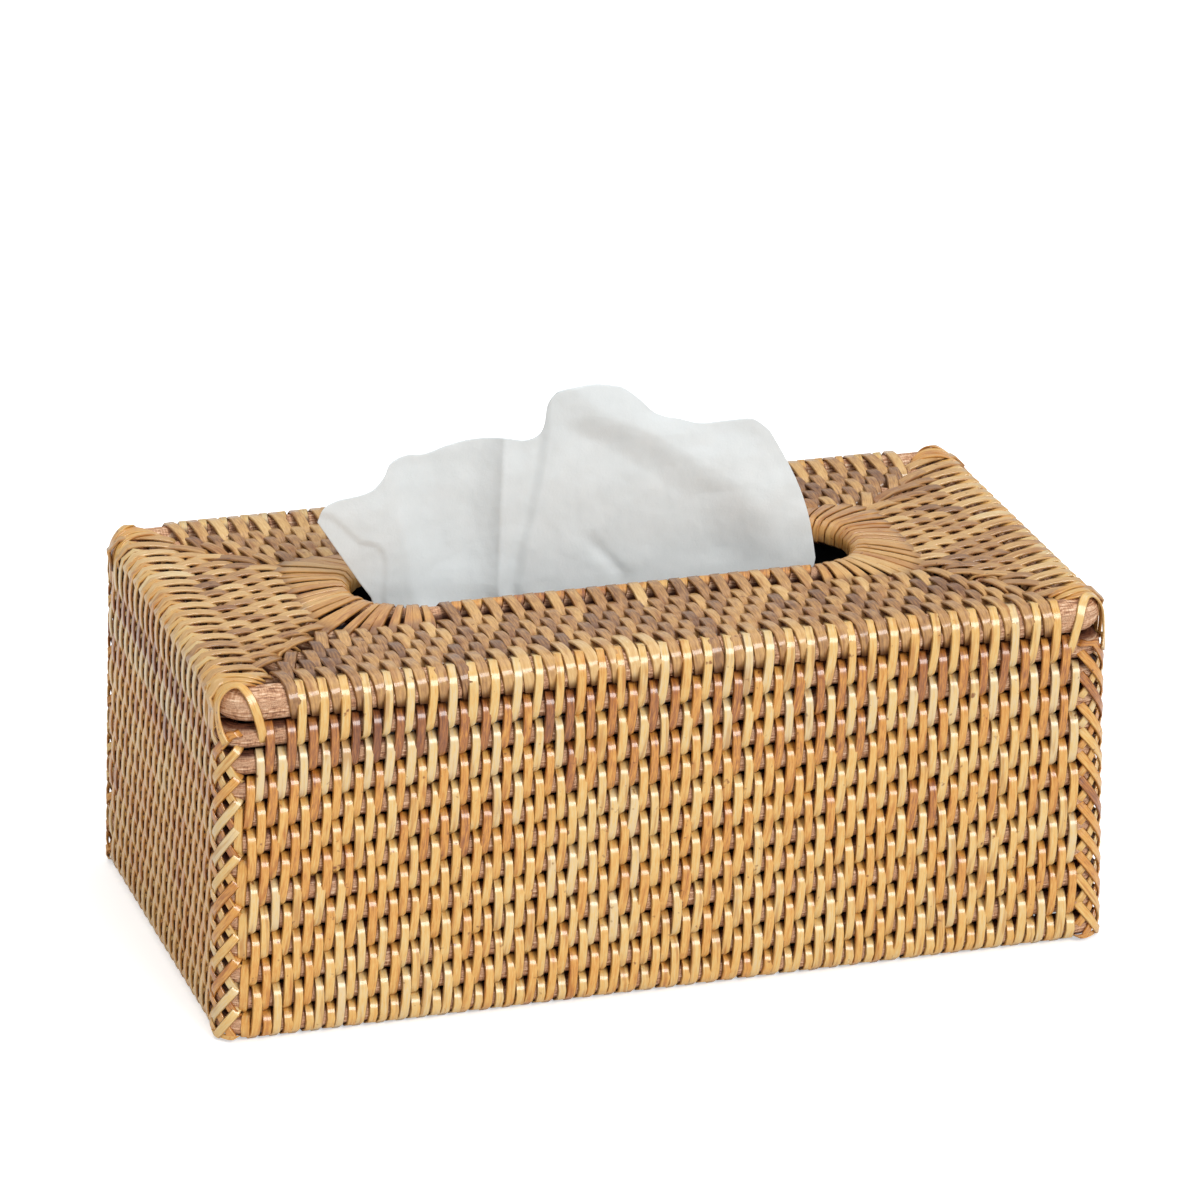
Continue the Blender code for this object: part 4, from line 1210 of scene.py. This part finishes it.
DENT_PLACE = (40, 106)
DENT_SIZE = (14, 7)
# The folded-back corner's edge, as (x, z) points from its tip down to the rim
TISSUE_FLAP = ((-84.5, 130.2), (-82.1, 129.4), (-79.1, 126.7), (-73.2, 120.5), (-68.1, 119.0),
               (-66.3, 116.4), (-65.4, 110.1), (-66.3, 104.0), (-67.0, 96.0))


def line_at(line, z):
    """The x of a line of (z, x) points at a height, all in millimetres."""
    if z >= line[0][0]:
        return line[0][1]
    for (z1, x1), (z0, x0) in zip(line, line[1:]):
        if z >= z0:
            return x0 + (x1 - x0) * (z - z0) / (z1 - z0)
    return line[-1][1]


def rising(distance, fold):
    """The rise of a fold that starts beside its line and is full after its breadth."""
    depth, start, breadth = fold
    return depth * soft_step((distance - start) / breadth)


def ridge(distance, fold):
    """The rise of a round fold with its peak beside its line."""
    depth, peak, breadth = fold
    return depth * math.exp(-((distance - peak) / breadth) ** 2)


def beyond_line(line, x, z):
    """How far a place is from a line of (x, z) points, less than 0 on its lower left side."""
    nearest = None
    for (x0, z0), (x1, z1) in zip(line, line[1:]):
        run, drop = x1 - x0, z1 - z0
        share = ((x - x0) * run + (z - z0) * drop) / (run * run + drop * drop)
        share = min(1, max(0, share))
        away = math.hypot(x - x0 - run * share, z - z0 - drop * share)
        side = run * (z - z0) - drop * (x - x0)
        if nearest is None or away < abs(nearest):
            nearest = math.copysign(away, side)
    return nearest


def tissue_relief(x, z):
    """How far the sheet stands back at a place of the picture, all in millimetres."""
    lobe = x - line_at(TISSUE_LOBE_EDGE, z)
    upright = x - line_at(TISSUE_UPRIGHT, z)
    left = x - line_at(TISSUE_LEFT_RIDGE, z)
    shade = x - line_at(TISSUE_SHADE, z)
    small = x - line_at(TISSUE_SMALL, z)
    # The lobe stands in front of the sheet to its left, with a round edge
    back = SHEET_BACK - rising(lobe, LOBE_STEP) - ridge(lobe, LOBE_CREST)
    # A wide valley rises to a sharp crest along the upright line, and falls off behind it
    climb = min(1, max(0, (upright + CREST_REACH) / CREST_REACH)) ** CREST_SHARPNESS
    valley = rising(left, VALLEY_START) * (1 - climb) if upright < 0 else 0
    back += VALLEY_DEPTH * valley * (VALLEY_LOW + rising(z, VALLEY_DEEPENS))
    back -= CREST_HEIGHT * climb * (1 - rising(upright, CREST_FALL))
    # A slight ridge on the left, and the corner folded back under its edge
    back += ridge(left, LEFT_HOLLOW) - ridge(left, LEFT_CREST)
    if x < FLAP_RIGHT:
        back += FLAP_DEPTH * (1 - rising(beyond_line(TISSUE_FLAP, x, z), FLAP_STEP))
    # The right half rolls forward along a long slant, and back again to its free edge
    back += rising(x, ROLL_BEGIN) * (rising(shade, ROLL_BACK) - rising(shade, ROLL_FORWARD))
    back -= rising(z, TOP_FORWARD)
    # A small crease and a small dent, low on the right
    back += ridge(small, SMALL_CREASE) * soft_step((SMALL_TOP - z) / SMALL_FADE)
    dent_x, dent_z = ((a - b) / size for a, b, size in zip((x, z), DENT_PLACE, DENT_SIZE))
    back += ridge(math.hypot(dent_x, dent_z), DENT)
    for depth, breadth, height, seed in TISSUE_CRUMPLES:
        back += depth * soft_noise(x / breadth, z / height, seed)
    return back


def tissue_top(across):
    """The x and z of the free edge at a share of its breadth."""
    place = across * (len(TISSUE_TOP) - 1)
    index = min(int(place), len(TISSUE_TOP) - 2)
    four = [TISSUE_TOP[max(0, min(len(TISSUE_TOP) - 1, index + step))] for step in (-1, 0, 1, 2)]
    return [curve_between(*numbers, place - index) * MM for numbers in zip(*four)]


def tissue_point(across, up):
    """A point of the sheet: across 0 to 1, up from -1 in the carton to 1 at its free edge."""
    rim_x = TISSUE_RIM_SPAN[0] + (TISSUE_RIM_SPAN[1] - TISSUE_RIM_SPAN[0]) * across
    if up < 0:
        share = soft_step(-up)
        x = rim_x + (TISSUE_NECK * (2 * across - 1) - rim_x) * share
        z = TISSUE_RIM + (TISSUE_FOOT - TISSUE_RIM) * -up
        back = tissue_relief(rim_x / MM, TISSUE_RIM / MM) * MM * (1 - NECK_CALM * share)
        return Vector((x + SIGHT_X * back * (1 - share), back, z))
    top_x, top_z = tissue_top(across)
    bulge = TISSUE_BULGE * math.sin(math.pi * up) * max(2 * across - 1, 0) ** 2
    x = rim_x + (top_x - rim_x) * up + bulge
    z = TISSUE_RIM + (top_z - TISSUE_RIM) * up
    back = tissue_relief(x / MM, z / MM) * MM
    return Vector((x + SIGHT_X * back, back, z + SIGHT_Z * back * soft_step(up * SIGHT_RISE)))


tissue_paper = paper_finish("soft_tissue", (0.83, 0.87, 0.88), (0.74, 0.79, 0.80),
                            roughness=0.95, cloud_scale=110, fibre_scale=1300, bump=0.35,
                            bump_depth=0.00025)
bm = bmesh.new()
levels = [row / TISSUE_NECK_ROWS - 1 for row in range(TISSUE_NECK_ROWS)]
levels += [row / TISSUE_ROWS for row in range(TISSUE_ROWS + 1)]
grid = [[bm.verts.new(tissue_point(step / TISSUE_COLUMNS, level))
         for step in range(TISSUE_COLUMNS + 1)] for level in levels]
for lower, upper in zip(grid, grid[1:]):
    for step in range(TISSUE_COLUMNS):
        bm.faces.new((lower[step], lower[step + 1], upper[step + 1], upper[step]))
tissue_area = sum(face.calc_area() for face in bm.faces)
tissue = piece_from("pulled_tissue", bm, tissue_paper, "tissue")
thick = tissue.modifiers.new("Paper", "SOLIDIFY")
thick.thickness = TISSUE_THICKNESS
thick.offset = 0
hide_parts("pop_up_tissue")
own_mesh(tissue)

# Floor and light
# A pale floor that reads as white to the camera and keeps the object's shadow, under a wide
# soft light from above and the front right.
FLOOR_REACH = 3
ROOM_LIGHT = 0.50
FLOOR_GLOW = 0.50

floor_mesh = bpy.data.meshes.new("floor")
floor_corners = ((-1, -1), (1, -1), (1, 1), (-1, 1))
floor_mesh.from_pydata([(x * FLOOR_REACH, y * FLOOR_REACH, 0) for x, y in floor_corners],
                       [], [(0, 1, 2, 3)])
floor = bpy.data.objects.new("floor", floor_mesh)
scene.collection.objects.link(floor)
floor_paint, floor_shader, add, feed = new_finish("pale_floor", 1.0)
seen = add("ShaderNodeLightPath")
glow = calc(add, "MULTIPLY", (seen, "Is Camera Ray"), FLOOR_GLOW)
feed(floor_shader, {"Base Color": (0.86, 0.86, 0.86, 1), "Specular IOR Level": 0,
                    "Emission Color": (1, 1, 1, 1), "Emission Strength": glow})
floor_mesh.materials.append(floor_paint)

# The room is dimmer as a light than as the camera sees it
world = bpy.data.worlds.new("studio")
scene.world = world
world.use_nodes = True
add, feed = node_maker(world.node_tree)
seen = add("ShaderNodeLightPath")
level = add("ShaderNodeMapRange", {"Value": (seen, "Is Camera Ray"), "To Min": ROOM_LIGHT,
                                   "To Max": 1.0})
feed(world.node_tree.nodes["Background"], {"Color": (1, 1, 1, 1), "Strength": level})


def soft_lamp(name, place, spread, strength):
    """A far lamp with a broad disc, so that its light is even and its shadows are soft."""
    lamp = bpy.data.lights.new(name, "SUN")
    lamp.angle = math.radians(spread)
    lamp.energy = strength
    holder = bpy.data.objects.new(name, lamp)
    holder.location = place
    holder.rotation_euler = (-Vector(place)).to_track_quat("-Z", "Y").to_euler()
    scene.collection.objects.link(holder)


soft_lamp("key_light", (0.42, -1.3, 1.0), spread=24, strength=1.62)
soft_lamp("top_light", (-0.2, 0.3, 1.8), spread=60, strength=0.9)
